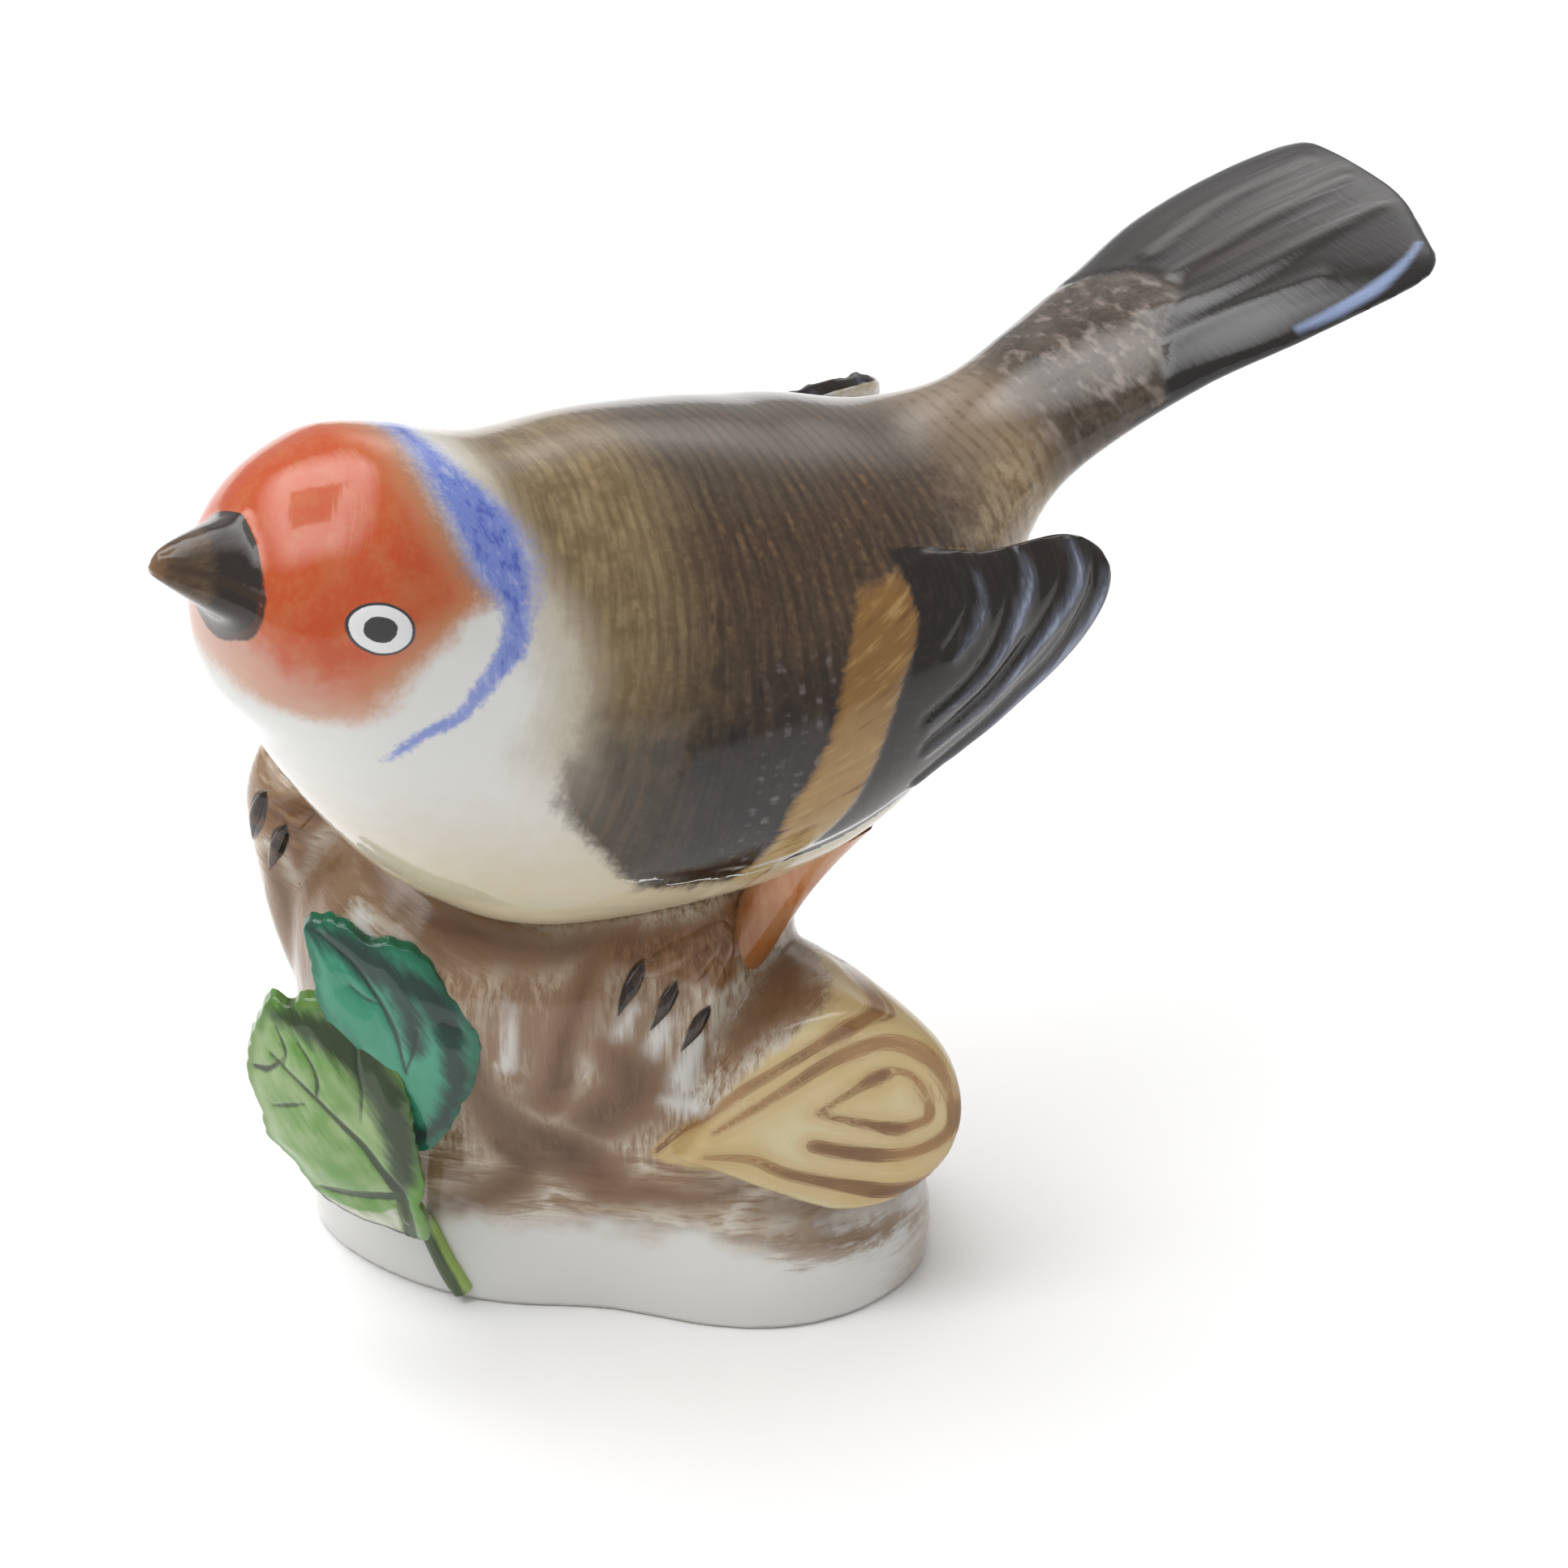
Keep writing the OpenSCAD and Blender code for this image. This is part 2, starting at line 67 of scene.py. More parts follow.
def through(knots: Points, x: Array) -> Array:
    """Reads a smooth curve through knots.

    Args:
        knots: (place, value) pairs in rising order of place.
        x: Places to read the curve at.

    Returns:
        The curve's value at each place, flat beyond the first and last knot.
    """
    at, value = np.array(knots, dtype=float).T
    slope = np.gradient(value, at)
    x = np.clip(x, at[0], at[-1])
    i = np.clip(np.searchsorted(at, x) - 1, 0, len(at) - 2)
    span = at[i + 1] - at[i]
    t = (x - at[i]) / span
    rise = value[i + 1] - value[i]
    tame = np.where(np.abs(rise) < 1e-9, 0.0, 1.0)
    a = slope[i] * span * tame
    b = slope[i + 1] * span * tame
    return value[i] + t * a + t * t * (3 * rise - 2 * a - b) + t * t * t * (a + b - 2 * rise)


def bend(points: Points, parts: int = 8) -> Array:
    """Draws a smooth line through a few points.

    Args:
        points: The points that the line passes, of any number of values each.
        parts: Pieces that each span is divided into.

    Returns:
        The line's own points, one row each.
    """
    p = np.array(points, dtype=float)
    ends = np.vstack([2 * p[0] - p[1], p, 2 * p[-1] - p[-2]])
    rows = []
    for i in range(len(p) - 1):
        a, b, c, d = ends[i:i + 4]
        for k in range(parts):
            t = k / parts
            rows.append(0.5 * (2 * b + (c - a) * t + (2 * a - 5 * b + 4 * c - d) * t * t
                               + (3 * b - a - 3 * c + d) * t ** 3))
    rows.append(p[-1])
    return np.array(rows)


def brush(xy: Array, points: Points) -> Array:
    """Measures how far inside a brush stroke each place lies.

    Args:
        xy: Places, one row each, on a flat chart.
        points: (x, y, half width) along the stroke, which is bent smoothly through them.

    Returns:
        Half width less distance, which is positive inside the stroke.
    """
    line = bend(points)
    best = np.full(len(xy), -1e3)
    for a, b in zip(line[:-1], line[1:]):
        way = b[:2] - a[:2]
        t = np.clip(((xy - a[:2]) @ way) / max(way @ way, 1e-9), 0, 1)
        gap = np.hypot(*(xy - a[:2] - t[:, None] * way).T)
        best = np.maximum(best, a[2] + (b[2] - a[2]) * t - gap)
    return best


def strokes(xy: Array, lines: Sequence[Points]) -> Array:
    """Measures how far inside the nearest of several brush strokes each place lies."""
    return np.max([brush(xy, line) for line in lines], axis=0)


def inside(xy: Array, outline: Points) -> Array:
    """Measures how far inside a closed outline each place lies.

    Args:
        xy: Places, one row each, on a flat chart.
        outline: Corners of the outline, in order, which is bent smoothly through them.

    Returns:
        Distance from the outline, positive inside it.
    """
    ring = bend([outline[-1], *outline, outline[0], outline[1]])[8:-8]
    gap = np.full(len(xy), 1e3)
    odd = np.zeros(len(xy), dtype=bool)
    for a, b in zip(ring[:-1], ring[1:]):
        way = b - a
        t = np.clip(((xy - a) @ way) / max(way @ way, 1e-9), 0, 1)
        gap = np.minimum(gap, np.hypot(*(xy - a - t[:, None] * way).T))
        spans = (a[1] > xy[:, 1]) != (b[1] > xy[:, 1])
        cross = a[0] + (xy[:, 1] - a[1]) * way[0] / (way[1] if abs(way[1]) > 1e-9 else 1e-9)
        odd ^= spans & (xy[:, 0] < cross)
    return np.where(odd, gap, -gap)


def ease(x: Array, low: float, high: float) -> Array:
    """Rises smoothly from 0 at low to 1 at high."""
    t = np.clip((x - low) / (high - low), 0, 1)
    return t * t * (3 - 2 * t)


def bell(x: Array, width: float) -> Array:
    """Falls smoothly from 1 at zero to either side."""
    return np.exp(-(x / width) ** 2)


def grain(points: Array, scale: Sequence[float], seed: float) -> Array:
    """Reads a smooth random field between -1 and 1.

    Args:
        points: Places, one row each, in millimetres.
        scale: Turns of the field per millimetre, along each axis.
        seed: Shift that picks another part of the field.

    Returns:
        The field's value at each place.
    """
    scaled = points * np.array(scale) + seed
    return np.array([noise.noise(Vector(p)) for p in scaled])


# ---------------------------------------------------------------- modelling moves

class Cut(Enum):
    """What a cutter does to a piece."""

    KEEP = "INTERSECT"
    REMOVE = "DIFFERENCE"


class Bench:
    """The modelling moves that every sub-assembly shares."""

    sharp: float = 50.0         # angle past which a finished edge stays sharp
    keys_per_mm: float = 1e4    # how finely a vertex is told from its neighbours
    touch: float = 0.01         # how near a cut piece still lies on the uncut skin
    facing: float = 0.2         # least cosine between a corner's own normal and the skin's
    same_way: float = 0.85      # least cosine on a face that lies on the skin only in part

    @staticmethod
    def pick(*objects: Piece) -> None:
        """Selects only these objects, and makes the first one active.

        Args:
            objects: The objects.
        """
        bpy.ops.object.select_all(action="DESELECT")
        for obj in objects:
            obj.select_set(True)
        bpy.context.view_layer.objects.active = objects[0]

    @staticmethod
    def apply(obj: Piece, kind: str, **settings: object) -> None:
        """Adds a modifier with its settings and applies it.

        Args:
            obj: The object, changed in place.
            kind: The modifier's type.
            settings: Its properties, by name.
        """
        modifier = obj.modifiers.new(kind.lower(), kind)
        for name, value in settings.items():
            setattr(modifier, name, value)
        Bench.pick(obj)
        bpy.ops.object.modifier_apply(modifier=modifier.name)

    @staticmethod
    def copy(source: Piece, name: str) -> Piece:
        """Copies an object with its own mesh.

        Args:
            source: The object.
            name: Name of the copy.

        Returns:
            The copy.
        """
        twin = bpy.data.objects.new(name, source.data.copy())
        bpy.context.scene.collection.objects.link(twin)
        return twin

    @staticmethod
    def cast(nodes: Sequence[str], name: str, crease: float = 40.0, levels: int = 2) -> Piece:
        """Takes copies of frame nodes, rounds their facets and joins them in one object.

        Args:
            nodes: Names of the nodes.
            name: Name of the new object.
            crease: Angle past which an edge stays sharp.
            levels: Levels of subdivision.

        Returns:
            The joined object, whose solids still overlap.
        """
        casts = []
        for node in nodes:
            twin = Bench.copy(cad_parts[node], name)
            twin.data.materials.clear()
            Bench.pick(twin)
            bpy.ops.object.mode_set(mode="EDIT")
            bpy.ops.mesh.select_all(action="SELECT")
            bpy.ops.mesh.remove_doubles(threshold=2e-6)
            bpy.ops.mesh.tris_convert_to_quads(face_threshold=0.8, shape_threshold=0.9)
            bpy.ops.object.mode_set(mode="OBJECT")
            bm = bmesh.new()
            bm.from_mesh(twin.data)
            layer = bm.edges.layers.float.get("crease_edge") or bm.edges.layers.float.new("crease_edge")
            for edge in bm.edges:
                edge[layer] = 1.0 if edge.calc_face_angle(0.0) > math.radians(crease) else 0.0
            bm.to_mesh(twin.data)
            bm.free()
            Bench.apply(twin, "SUBSURF", levels=levels, render_levels=levels)
            casts.append(twin)
        Bench.pick(*casts)
        if len(casts) > 1:
            bpy.ops.object.join()
        return casts[0]

    @staticmethod
    def fuse(obj: Piece, voxel: float, passes: int) -> None:
        """Makes overlapping solids one skin and softens it.

        Args:
            obj: The object, changed in place.
            voxel: Size of the new skin's squares.
            passes: Rounds of softening.
        """
        obj.data.remesh_voxel_size = voxel * MM
        obj.data.remesh_voxel_adaptivity = 0.0
        Bench.pick(obj)
        bpy.ops.object.voxel_remesh()
        Bench.apply(obj, "SMOOTH", factor=0.5, iterations=passes)

    @staticmethod
    def soften(obj: Piece, passes: int, weight: Callable[[Array], Array]) -> None:
        """Softens a skin by a weight that varies over it.

        Args:
            obj: The object, changed in place.
            passes: Rounds of softening.
            weight: Gives the weight at each point, from 0 to 1.
        """
        tenths = np.round(weight(Bench.points(obj)) * 10).astype(int)
        group = obj.vertex_groups.new(name="soft")
        for tenth in range(1, 11):
            group.add(np.nonzero(tenths == tenth)[0].tolist(), tenth / 10, "REPLACE")
        Bench.apply(obj, "SMOOTH", factor=0.5, iterations=passes, vertex_group="soft")
        obj.vertex_groups.clear()

    @staticmethod
    def swell(obj: Piece, amount: float) -> None:
        """Moves a skin outwards along its normals."""
        Bench.apply(obj, "DISPLACE", strength=amount * MM, mid_level=0.0)

    @staticmethod
    def cut(obj: Piece, cutter: Piece, how: Cut) -> None:
        """Keeps or removes what lies inside a cutter."""
        Bench.apply(obj, "BOOLEAN", operation=how.value, solver="MANIFOLD", object=cutter)

    @staticmethod
    def split(rest: Piece, cutter: Piece, name: str) -> Piece:
        """Cuts one piece off a casting.

        Args:
            rest: What is left of the casting, changed in place.
            cutter: A solid round the piece, used up.
            name: Name of the piece.

        Returns:
            The piece.
        """
        piece = Bench.copy(rest, name)
        Bench.cut(piece, cutter, Cut.KEEP)
        Bench.cut(rest, cutter, Cut.REMOVE)
        Bench.drop(cutter)
        return piece

    @staticmethod
    def drop(*objects: Piece) -> None:
        """Deletes objects that have done their work."""
        for obj in objects:
            bpy.data.objects.remove(obj, do_unlink=True)

    @staticmethod
    def points(obj: Piece) -> Array:
        """Reads an object's vertices in millimetres, one row each.

        Args:
            obj: The object.

        Returns:
            The points.
        """
        flat = np.empty(3 * len(obj.data.vertices), dtype=np.float32)
        obj.data.vertices.foreach_get("co", flat)
        return flat.reshape(-1, 3).astype(float) / MM

    @staticmethod
    def move(obj: Piece, at: Array) -> None:
        """Moves an object's vertices to new places, given in millimetres."""
        obj.data.vertices.foreach_set("co", (at * MM).astype(np.float32).ravel())
        obj.data.update()

    @staticmethod
    def normals(obj: Piece) -> Array:
        """Reads an object's vertex normals, one row each.

        Args:
            obj: The object.

        Returns:
            The normals.
        """
        flat = np.empty(3 * len(obj.data.vertices), dtype=np.float32)
        obj.data.vertex_normals.foreach_get("vector", flat)
        return flat.reshape(-1, 3).astype(float)

    @staticmethod
    def emboss(obj: Piece, height: Callable[[Array, Array], Array]) -> None:
        """Raises or sinks a skin along its normals.

        Args:
            obj: The object, changed in place.
            height: Gives the height at each point from the points and their normals, in millimetres.
        """
        at, out = Bench.points(obj), Bench.normals(obj)
        Bench.move(obj, at + out * height(at, out)[:, None])

    @staticmethod
    def chart(obj: Piece, **fields: Array) -> None:
        """Stores a number for each vertex under each name, for the enamel to read.

        Args:
            obj: The object.
            fields: The numbers, by name.
        """
        for name, values in fields.items():
            layer = obj.data.attributes.new(name, "FLOAT", "POINT")
            layer.data.foreach_set("value", values.astype(np.float32))

    @staticmethod
    def finish(obj: Piece, whole: Piece | None = None) -> None:
        """Smooths a piece's shading, and takes it from the uncut skin where they coincide.

        Args:
            obj: The piece.
            whole: The skin that it was cut from, whose normals run on over the joint.
        """
        Bench.pick(obj)
        bpy.ops.object.shade_smooth_by_angle(angle=math.radians(Bench.sharp))
        if whole is None:
            return
        wanted, own, on_skin = Bench._corners(obj, Bench._skin_normals(obj, whole))
        starts = np.empty(len(obj.data.polygons), dtype=np.int32)
        obj.data.polygons.foreach_get("loop_start", starts)
        whole_face = np.minimum.reduceat(on_skin.astype(int), starts) > 0
        sizes = np.diff(np.append(starts, len(own)))
        cosine = (own * wanted).sum(axis=1)
        agree = np.repeat(whole_face, sizes) & (cosine > Bench.facing) | on_skin & (cosine > Bench.same_way)
        obj.data.normals_split_custom_set(np.where(agree[:, None], wanted, own).tolist())

    @staticmethod
    def _skin_normals(obj: Piece, whole: Piece) -> Array:
        """Reads the uncut skin's normal at each vertex of a piece.

        Args:
            obj: The piece.
            whole: The skin that it was cut from.

        Returns:
            A unit normal for each vertex on the skin, and nearly zero for each vertex off it.
        """
        tree = BVHTree.FromObject(whole, bpy.context.evaluated_depsgraph_get())
        skin, lean = Bench.points(whole), Bench.normals(whole)
        place = {key: i for i, key in enumerate(Bench._keys(skin))}
        soft = np.zeros((len(obj.data.vertices), 3))
        for i, (key, vertex) in enumerate(zip(Bench._keys(Bench.points(obj)), obj.data.vertices)):
            match = place.get(key)
            if match is not None:
                soft[i] = lean[match]
                continue
            near, _, face, gap = tree.find_nearest(vertex.co)
            if gap < Bench.touch * MM:
                corners = list(whole.data.polygons[face].vertices)
                share = 1.0 / (np.linalg.norm(skin[corners] - np.array(near) / MM, axis=1) + 1e-3)
                soft[i] = share @ lean[corners]
        return soft / (np.linalg.norm(soft, axis=1)[:, None] + 1e-9)

    @staticmethod
    def _keys(at: Array) -> list[tuple[int, ...]]:
        """Gives each point a key, its rounded place."""
        return [tuple(key) for key in np.round(at * Bench.keys_per_mm).astype(np.int64).tolist()]

    @staticmethod
    def _corners(obj: Piece, soft: Array) -> tuple[Array, Array, Array]:
        """Spreads normals from a piece's vertices to the corners of its faces.

        Args:
            obj: The piece.
            soft: The skin's normal at each vertex.

        Returns:
            The skin's normal at each corner, the corner's own, and whether the corner lies on the skin.
        """
        count = len(obj.data.loops)
        own, corner = np.empty(3 * count, dtype=np.float32), np.empty(count, dtype=np.int32)
        obj.data.corner_normals.foreach_get("vector", own)
        obj.data.loops.foreach_get("vertex_index", corner)
        wanted = soft[corner]
        return wanted, own.reshape(-1, 3), np.linalg.norm(wanted, axis=1) > 0.5


@dataclass(frozen=True)
class Seam:
    """The flat joint between two castings, found from the points that they share."""

    centre: Vector
    normal: Vector

    @classmethod
    def between(cls, first: str, second: str) -> "Seam":
        """Finds the joint between two nodes.

        Args:
            first: Node that the seam's normal points away from.
            second: Node that it points to.

        Returns:
            The seam, in metres.
        """
        a = Bench.points(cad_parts[first])
        b = Bench.points(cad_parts[second])
        keys = {tuple(k) for k in np.round(b * 50).astype(int)}
        shared = np.unique([p for p, k in zip(a, np.round(a * 50).astype(int)) if tuple(k) in keys], axis=0)
        centre = (shared.min(axis=0) + shared.max(axis=0)) / 2
        normal = np.linalg.svd(shared - shared.mean(axis=0))[2][2]
        if normal @ (b.mean(axis=0) - a.mean(axis=0)) < 0:
            normal = -normal
        return cls(Vector(centre) * MM, Vector(normal))

    def cutter(self, reach: float = 200.0) -> Piece:
        """Makes a block that fills the space past the seam.

        Args:
            reach: Size of the block, in millimetres.

        Returns:
            The block.
        """
        size = reach * MM
        turn = self.normal.to_track_quat("Z", "Y").to_euler()
        bpy.ops.object.select_all(action="DESELECT")
        middle = self.centre + self.normal * size / 2
        bpy.ops.mesh.primitive_cube_add(size=size, location=middle, rotation=turn)
        block = bpy.context.object
        bpy.ops.object.transform_apply(location=True, rotation=True, scale=True)
        return block

    def past(self, points: Array) -> Array:
        """Measures how far past the seam each point lies, in millimetres."""
        return (points - np.array(self.centre) / MM) @ np.array(self.normal)


# ---------------------------------------------------------------- enamel

class Wire:
    """A socket in a node tree that takes part in arithmetic."""

    def __init__(self, glaze: "Glaze", socket: bpy.types.NodeSocket) -> None:
        """Keeps the socket and the material that it belongs to."""
        self.glaze, self.socket = glaze, socket

    def _math(self, operation: str, first: object, second: object = 0.0) -> "Wire":
        """Adds a Math node."""
        return self.glaze.add("ShaderNodeMath", {"operation": operation}, {0: first, 1: second})

    def __add__(self, other: object) -> "Wire":
        """Adds."""
        return self._math("ADD", self, other)

    __radd__ = __add__

    def __sub__(self, other: object) -> "Wire":
        """Subtracts."""
        return self._math("SUBTRACT", self, other)

    def __rsub__(self, other: object) -> "Wire":
        """Subtracts this from another."""
        return self._math("SUBTRACT", other, self)

    def __mul__(self, other: object) -> "Wire":
        """Multiplies."""
        return self._math("MULTIPLY", self, other)

    __rmul__ = __mul__

    def __truediv__(self, other: object) -> "Wire":
        """Divides."""
        return self._math("DIVIDE", self, other)

    def __abs__(self) -> "Wire":
        """Drops the sign."""
        return self._math("ABSOLUTE", self)

    def wave(self) -> "Wire":
        """Takes the sine."""
        return self._math("SINE", self)


class Glaze:
    """One glazed and painted finish, as a node material."""

    def __init__(self, name: str, roughness: float = 0.1) -> None:
        """Starts a material with one Principled shader.

        Args:
            name: Name of the material.
            roughness: Roughness of the glaze.
        """
        self.material = bpy.data.materials.new(name)
        self.material.use_nodes = True
        self.tree = self.material.node_tree
        self.tree.nodes.clear()
        output = self.tree.nodes.new("ShaderNodeOutputMaterial")
        self.shader = self.tree.nodes.new("ShaderNodeBsdfPrincipled")
        self.tree.links.new(self.shader.outputs["BSDF"], output.inputs["Surface"])
        self.shader.inputs["Roughness"].default_value = roughness
        self.shader.inputs["IOR"].default_value = 1.52
        place = self.add("ShaderNodeTexCoord", output="Object")
        self.place = self.add("ShaderNodeVectorMath", {"operation": "SCALE"}, {0: place, "Scale": 1 / MM})

    def add(self, kind: str, settings: dict | None = None, inputs: dict | None = None,
            output: int | str = 0) -> Wire:
        """Adds any node.

        Args:
            kind: The node's type.
            settings: Its own settings, set first.
            inputs: Values or wires for its sockets, by name or number.
            output: The socket to read.

        Returns:
            The wire from that socket.
        """
        node = self.tree.nodes.new(kind)
        for name, value in (settings or {}).items():
            setattr(node, name, value)
        for name, value in (inputs or {}).items():
            if isinstance(value, Wire):
                self.tree.links.new(value.socket, node.inputs[name])
            elif isinstance(value, tuple) and len(value) == 3 and node.inputs[name].type == "RGBA":
                node.inputs[name].default_value = (*value, 1.0)
            else:
                node.inputs[name].default_value = value
        return Wire(self, node.outputs[output])

    def field(self, name: str) -> Wire:
        """Reads a number stored on the mesh."""
        return self.add("ShaderNodeAttribute", {"attribute_name": name}, output="Fac")

    def part(self, axis: str) -> Wire:
        """Reads one of X, Y and Z, in millimetres."""
        return self.add("ShaderNodeSeparateXYZ", inputs={0: self.place}, output=axis)

    def vector(self, x: object, y: object, z: object = 0.0) -> Wire:
        """Puts three numbers together."""
        return self.add("ShaderNodeCombineXYZ", inputs={0: x, 1: y, 2: z})

    def clouds(self, scale: float, detail: float = 2.0, stretch: tuple[float, float, float] = (1, 1, 1),
               at: Wire | None = None, rough: float = 0.5, twist: float = 0.0) -> Wire:
        """Reads noise around zero, between about -0.5 and 0.5.

        Args:
            scale: Turns per millimetre.
            detail: Octaves.
            stretch: Extra scale along each axis.
            at: Where to read it, in millimetres.
            rough: Share of the finer octaves.
            twist: Distortion.

        Returns:
            The noise.
        """
        where = self.add("ShaderNodeVectorMath", {"operation": "MULTIPLY"}, {0: at or self.place, 1: stretch})
        return self.add("ShaderNodeTexNoise", inputs={"Vector": where, "Scale": scale, "Detail": detail,
                                                      "Roughness": rough, "Distortion": twist}) - 0.5

    def step(self, value: object, low: object, high: object, top: float = 1.0) -> Wire:
        """Rises smoothly from 0 at low to top at high; low may be the larger."""
        return self.add("ShaderNodeMapRange", {"interpolation_type": "SMOOTHSTEP"},
                        {"Value": value, "From Min": low, "From Max": high, "To Min": 0.0, "To Max": top})

    def mix(self, share: object, under: object, over: object) -> Wire:
        """Lays one colour over another.

        Args:
            share: How much of the upper colour shows.
            under: The lower colour.
            over: The upper colour.

        Returns:
            The mixed colour.
        """
        return self.add("ShaderNodeMix", {"data_type": "RGBA", "clamp_factor": True},
                        {0: share, 6: under, 7: over}, output=2)

    def lay(self, under: object, over: object, value: object, low: object, high: object,
            top: float = 1.0) -> Wire:
        """Lays one colour over another where a value lies past a soft edge.

        Args:
            under: The lower colour.
            over: The upper colour.
            value: What the edge is read from.
            low: Where the upper colour starts to show.
            high: Where it shows in full.
            top: How much of it shows there.

        Returns:
            The mixed colour.
        """
        return self.mix(self.step(value, low, high, top), under, over)

    def finish(self, colour: Wire, bump: Wire | None = None, depth: float = 0.02,
               roughness: Wire | None = None, sunk: float = 0.1) -> bpy.types.Material:
        """Joins the colour and the relief to the shader.

        Args:
            colour: The base colour.
            bump: Height of the fine relief, about -0.5 to 0.5.
            depth: What a height of one stands for, in millimetres.
            roughness: A roughness that varies.
            sunk: How much the glaze deepens the colour.

        Returns:
            The material.
        """
        links = self.tree.links
        colour = self.mix(sunk, colour, (0.0, 0.0, 0.0))
        links.new(colour.socket, self.shader.inputs["Base Color"])
        ripple = self.clouds(0.12, 1.0) * 2.2 + self.clouds(0.9, 1.0) * 0.2
        height = ripple if bump is None else ripple + bump
        normal = self.add("ShaderNodeBump", None, {"Height": height, "Distance": depth * MM, "Strength": 1.0})
        links.new(normal.socket, self.shader.inputs["Normal"])
        if roughness is not None:
            links.new(roughness.socket, self.shader.inputs["Roughness"])
        return self.material


@dataclass(frozen=True)
class Paints:
    """Enamel colours, as linear shares of red, green and blue."""

    white: Colour = (0.69, 0.685, 0.66)
    cream: Colour = (0.56, 0.48, 0.33)
    moss: Colour = (0.43, 0.43, 0.29)
    straw: Colour = (0.40, 0.32, 0.19)
    red: Colour = (0.49, 0.070, 0.014)
    vermilion: Colour = (0.50, 0.12, 0.036)
    orange: Colour = (0.50, 0.235, 0.115)
    blush: Colour = (0.58, 0.37, 0.285)
    blue: Colour = (0.14, 0.205, 0.57)
    deep_blue: Colour = (0.055, 0.10, 0.47)
    pale_blue: Colour = (0.33, 0.38, 0.66)
    slate: Colour = (0.16, 0.14, 0.15)
    soot: Colour = (0.018, 0.013, 0.011)
    eye_line: Colour = (0.035, 0.035, 0.04)
    eye_white: Colour = (0.76, 0.75, 0.76)
    pupil: Colour = (0.05, 0.05, 0.052)
    horn_deep: Colour = (0.060, 0.036, 0.020)
    horn: Colour = (0.125, 0.075, 0.040)
    horn_tip: Colour = (0.28, 0.15, 0.07)
    bark: Colour = (0.045, 0.026, 0.015)

    back_deep: Colour = (0.046, 0.025, 0.013)
    back_brown: Colour = (0.10, 0.058, 0.029)
    crown: Colour = (0.10, 0.08, 0.06)
    flank_black: Colour = (0.010, 0.007, 0.006)
    flank_brown: Colour = (0.028, 0.018, 0.013)
    sage_deep: Colour = (0.15, 0.098, 0.044)
    sage: Colour = (0.27, 0.195, 0.098)
    trough: Colour = (0.03, 0.018, 0.011)
    trough_sage: Colour = (0.13, 0.08, 0.037)
    crest: Colour = (0.20, 0.115, 0.052)
    crest_sage: Colour = (0.33, 0.235, 0.12)
    crest_flank: Colour = (0.055, 0.043, 0.037)
    fleck: Colour = (0.17, 0.155, 0.16)
    rump_top: Colour = (0.24, 0.175, 0.115)
    rump_tan: Colour = (0.27, 0.165, 0.07)
    rump_pale: Colour = (0.50, 0.38, 0.235)
    rump_bar: Colour = (0.09, 0.052, 0.025)

    covert_deep: Colour = (0.034, 0.024, 0.018)
    covert: Colour = (0.085, 0.062, 0.046)
    covert_pale: Colour = (0.26, 0.21, 0.18)
    tail_black: Colour = (0.014, 0.011, 0.010)
    tail_grey: Colour = (0.038, 0.031, 0.028)
    tail_ash: Colour = (0.12, 0.105, 0.10)
    tail_silver: Colour = (0.30, 0.30, 0.33)
    quill: Colour = (0.17, 0.155, 0.15)
    tail_blue: Colour = (0.30, 0.38, 0.60)

    wing_black: Colour = (0.010, 0.006, 0.004)
    wing_brown: Colour = (0.040, 0.026, 0.018)
    wing_slate: Colour = (0.16, 0.18, 0.24)
    wing_blue: Colour = (0.34, 0.39, 0.52)
    ochre: Colour = (0.35, 0.205, 0.062)
    ochre_top: Colour = (0.23, 0.115, 0.028)
    ochre_foot: Colour = (0.50, 0.38, 0.20)
    ochre_light: Colour = (0.46, 0.305, 0.12)
    ochre_deep: Colour = (0.15, 0.065, 0.018)
    ochre_edge: Colour = (0.17, 0.085, 0.03)

    terracotta: Colour = (0.48, 0.15, 0.04)
    terracotta_thin: Colour = (0.58, 0.30, 0.16)
    leg_rust: Colour = (0.26, 0.10, 0.025)
    wood_tint: Colour = (0.26, 0.16, 0.09)
    wood_pale: Colour = (0.50, 0.40, 0.295)
    wood_white: Colour = (0.63, 0.59, 0.51)
    wash: Colour = (0.13, 0.060, 0.022)
    wash_thin: Colour = (0.25, 0.14, 0.07)
    fold_deep: Colour = (0.075, 0.030, 0.010)
    fold: Colour = (0.15, 0.070, 0.028)
    mauve: Colour = (0.22, 0.13, 0.075)
    corner: Colour = (0.34, 0.22, 0.14)
    rust_deep: Colour = (0.13, 0.052, 0.016)
    rust: Colour = (0.28, 0.13, 0.048)
    foot_line: Colour = (0.16, 0.12, 0.07)
    claw_black: Colour = (0.02, 0.012, 0.008)
    claw_brown: Colour = (0.11, 0.06, 0.035)
    bisque: Colour = (0.66, 0.63, 0.58)
    bisque_grey: Colour = (0.50, 0.46, 0.40)
    sawn: Colour = (0.58, 0.455, 0.215)
    sawn_cream: Colour = (0.65, 0.575, 0.36)
    sawn_gold: Colour = (0.58, 0.40, 0.17)
    ring_tan: Colour = (0.33, 0.17, 0.055)
    ring_brown: Colour = (0.14, 0.055, 0.016)
    ring_wash: Colour = (0.50, 0.32, 0.12)
    ring_deep: Colour = (0.16, 0.065, 0.022)
    ring_hair: Colour = (0.56, 0.35, 0.15)

    leaf_back: Colour = (0.62, 0.64, 0.52)
    leaf_fold: Colour = (0.34, 0.40, 0.25)
    twig_green: Colour = (0.06, 0.09, 0.035)
    twig_light: Colour = (0.33, 0.46, 0.12)

    paper: Colour = (0.965, 0.965, 0.965)
    paper_light: Colour = (0.98, 0.98, 0.98)


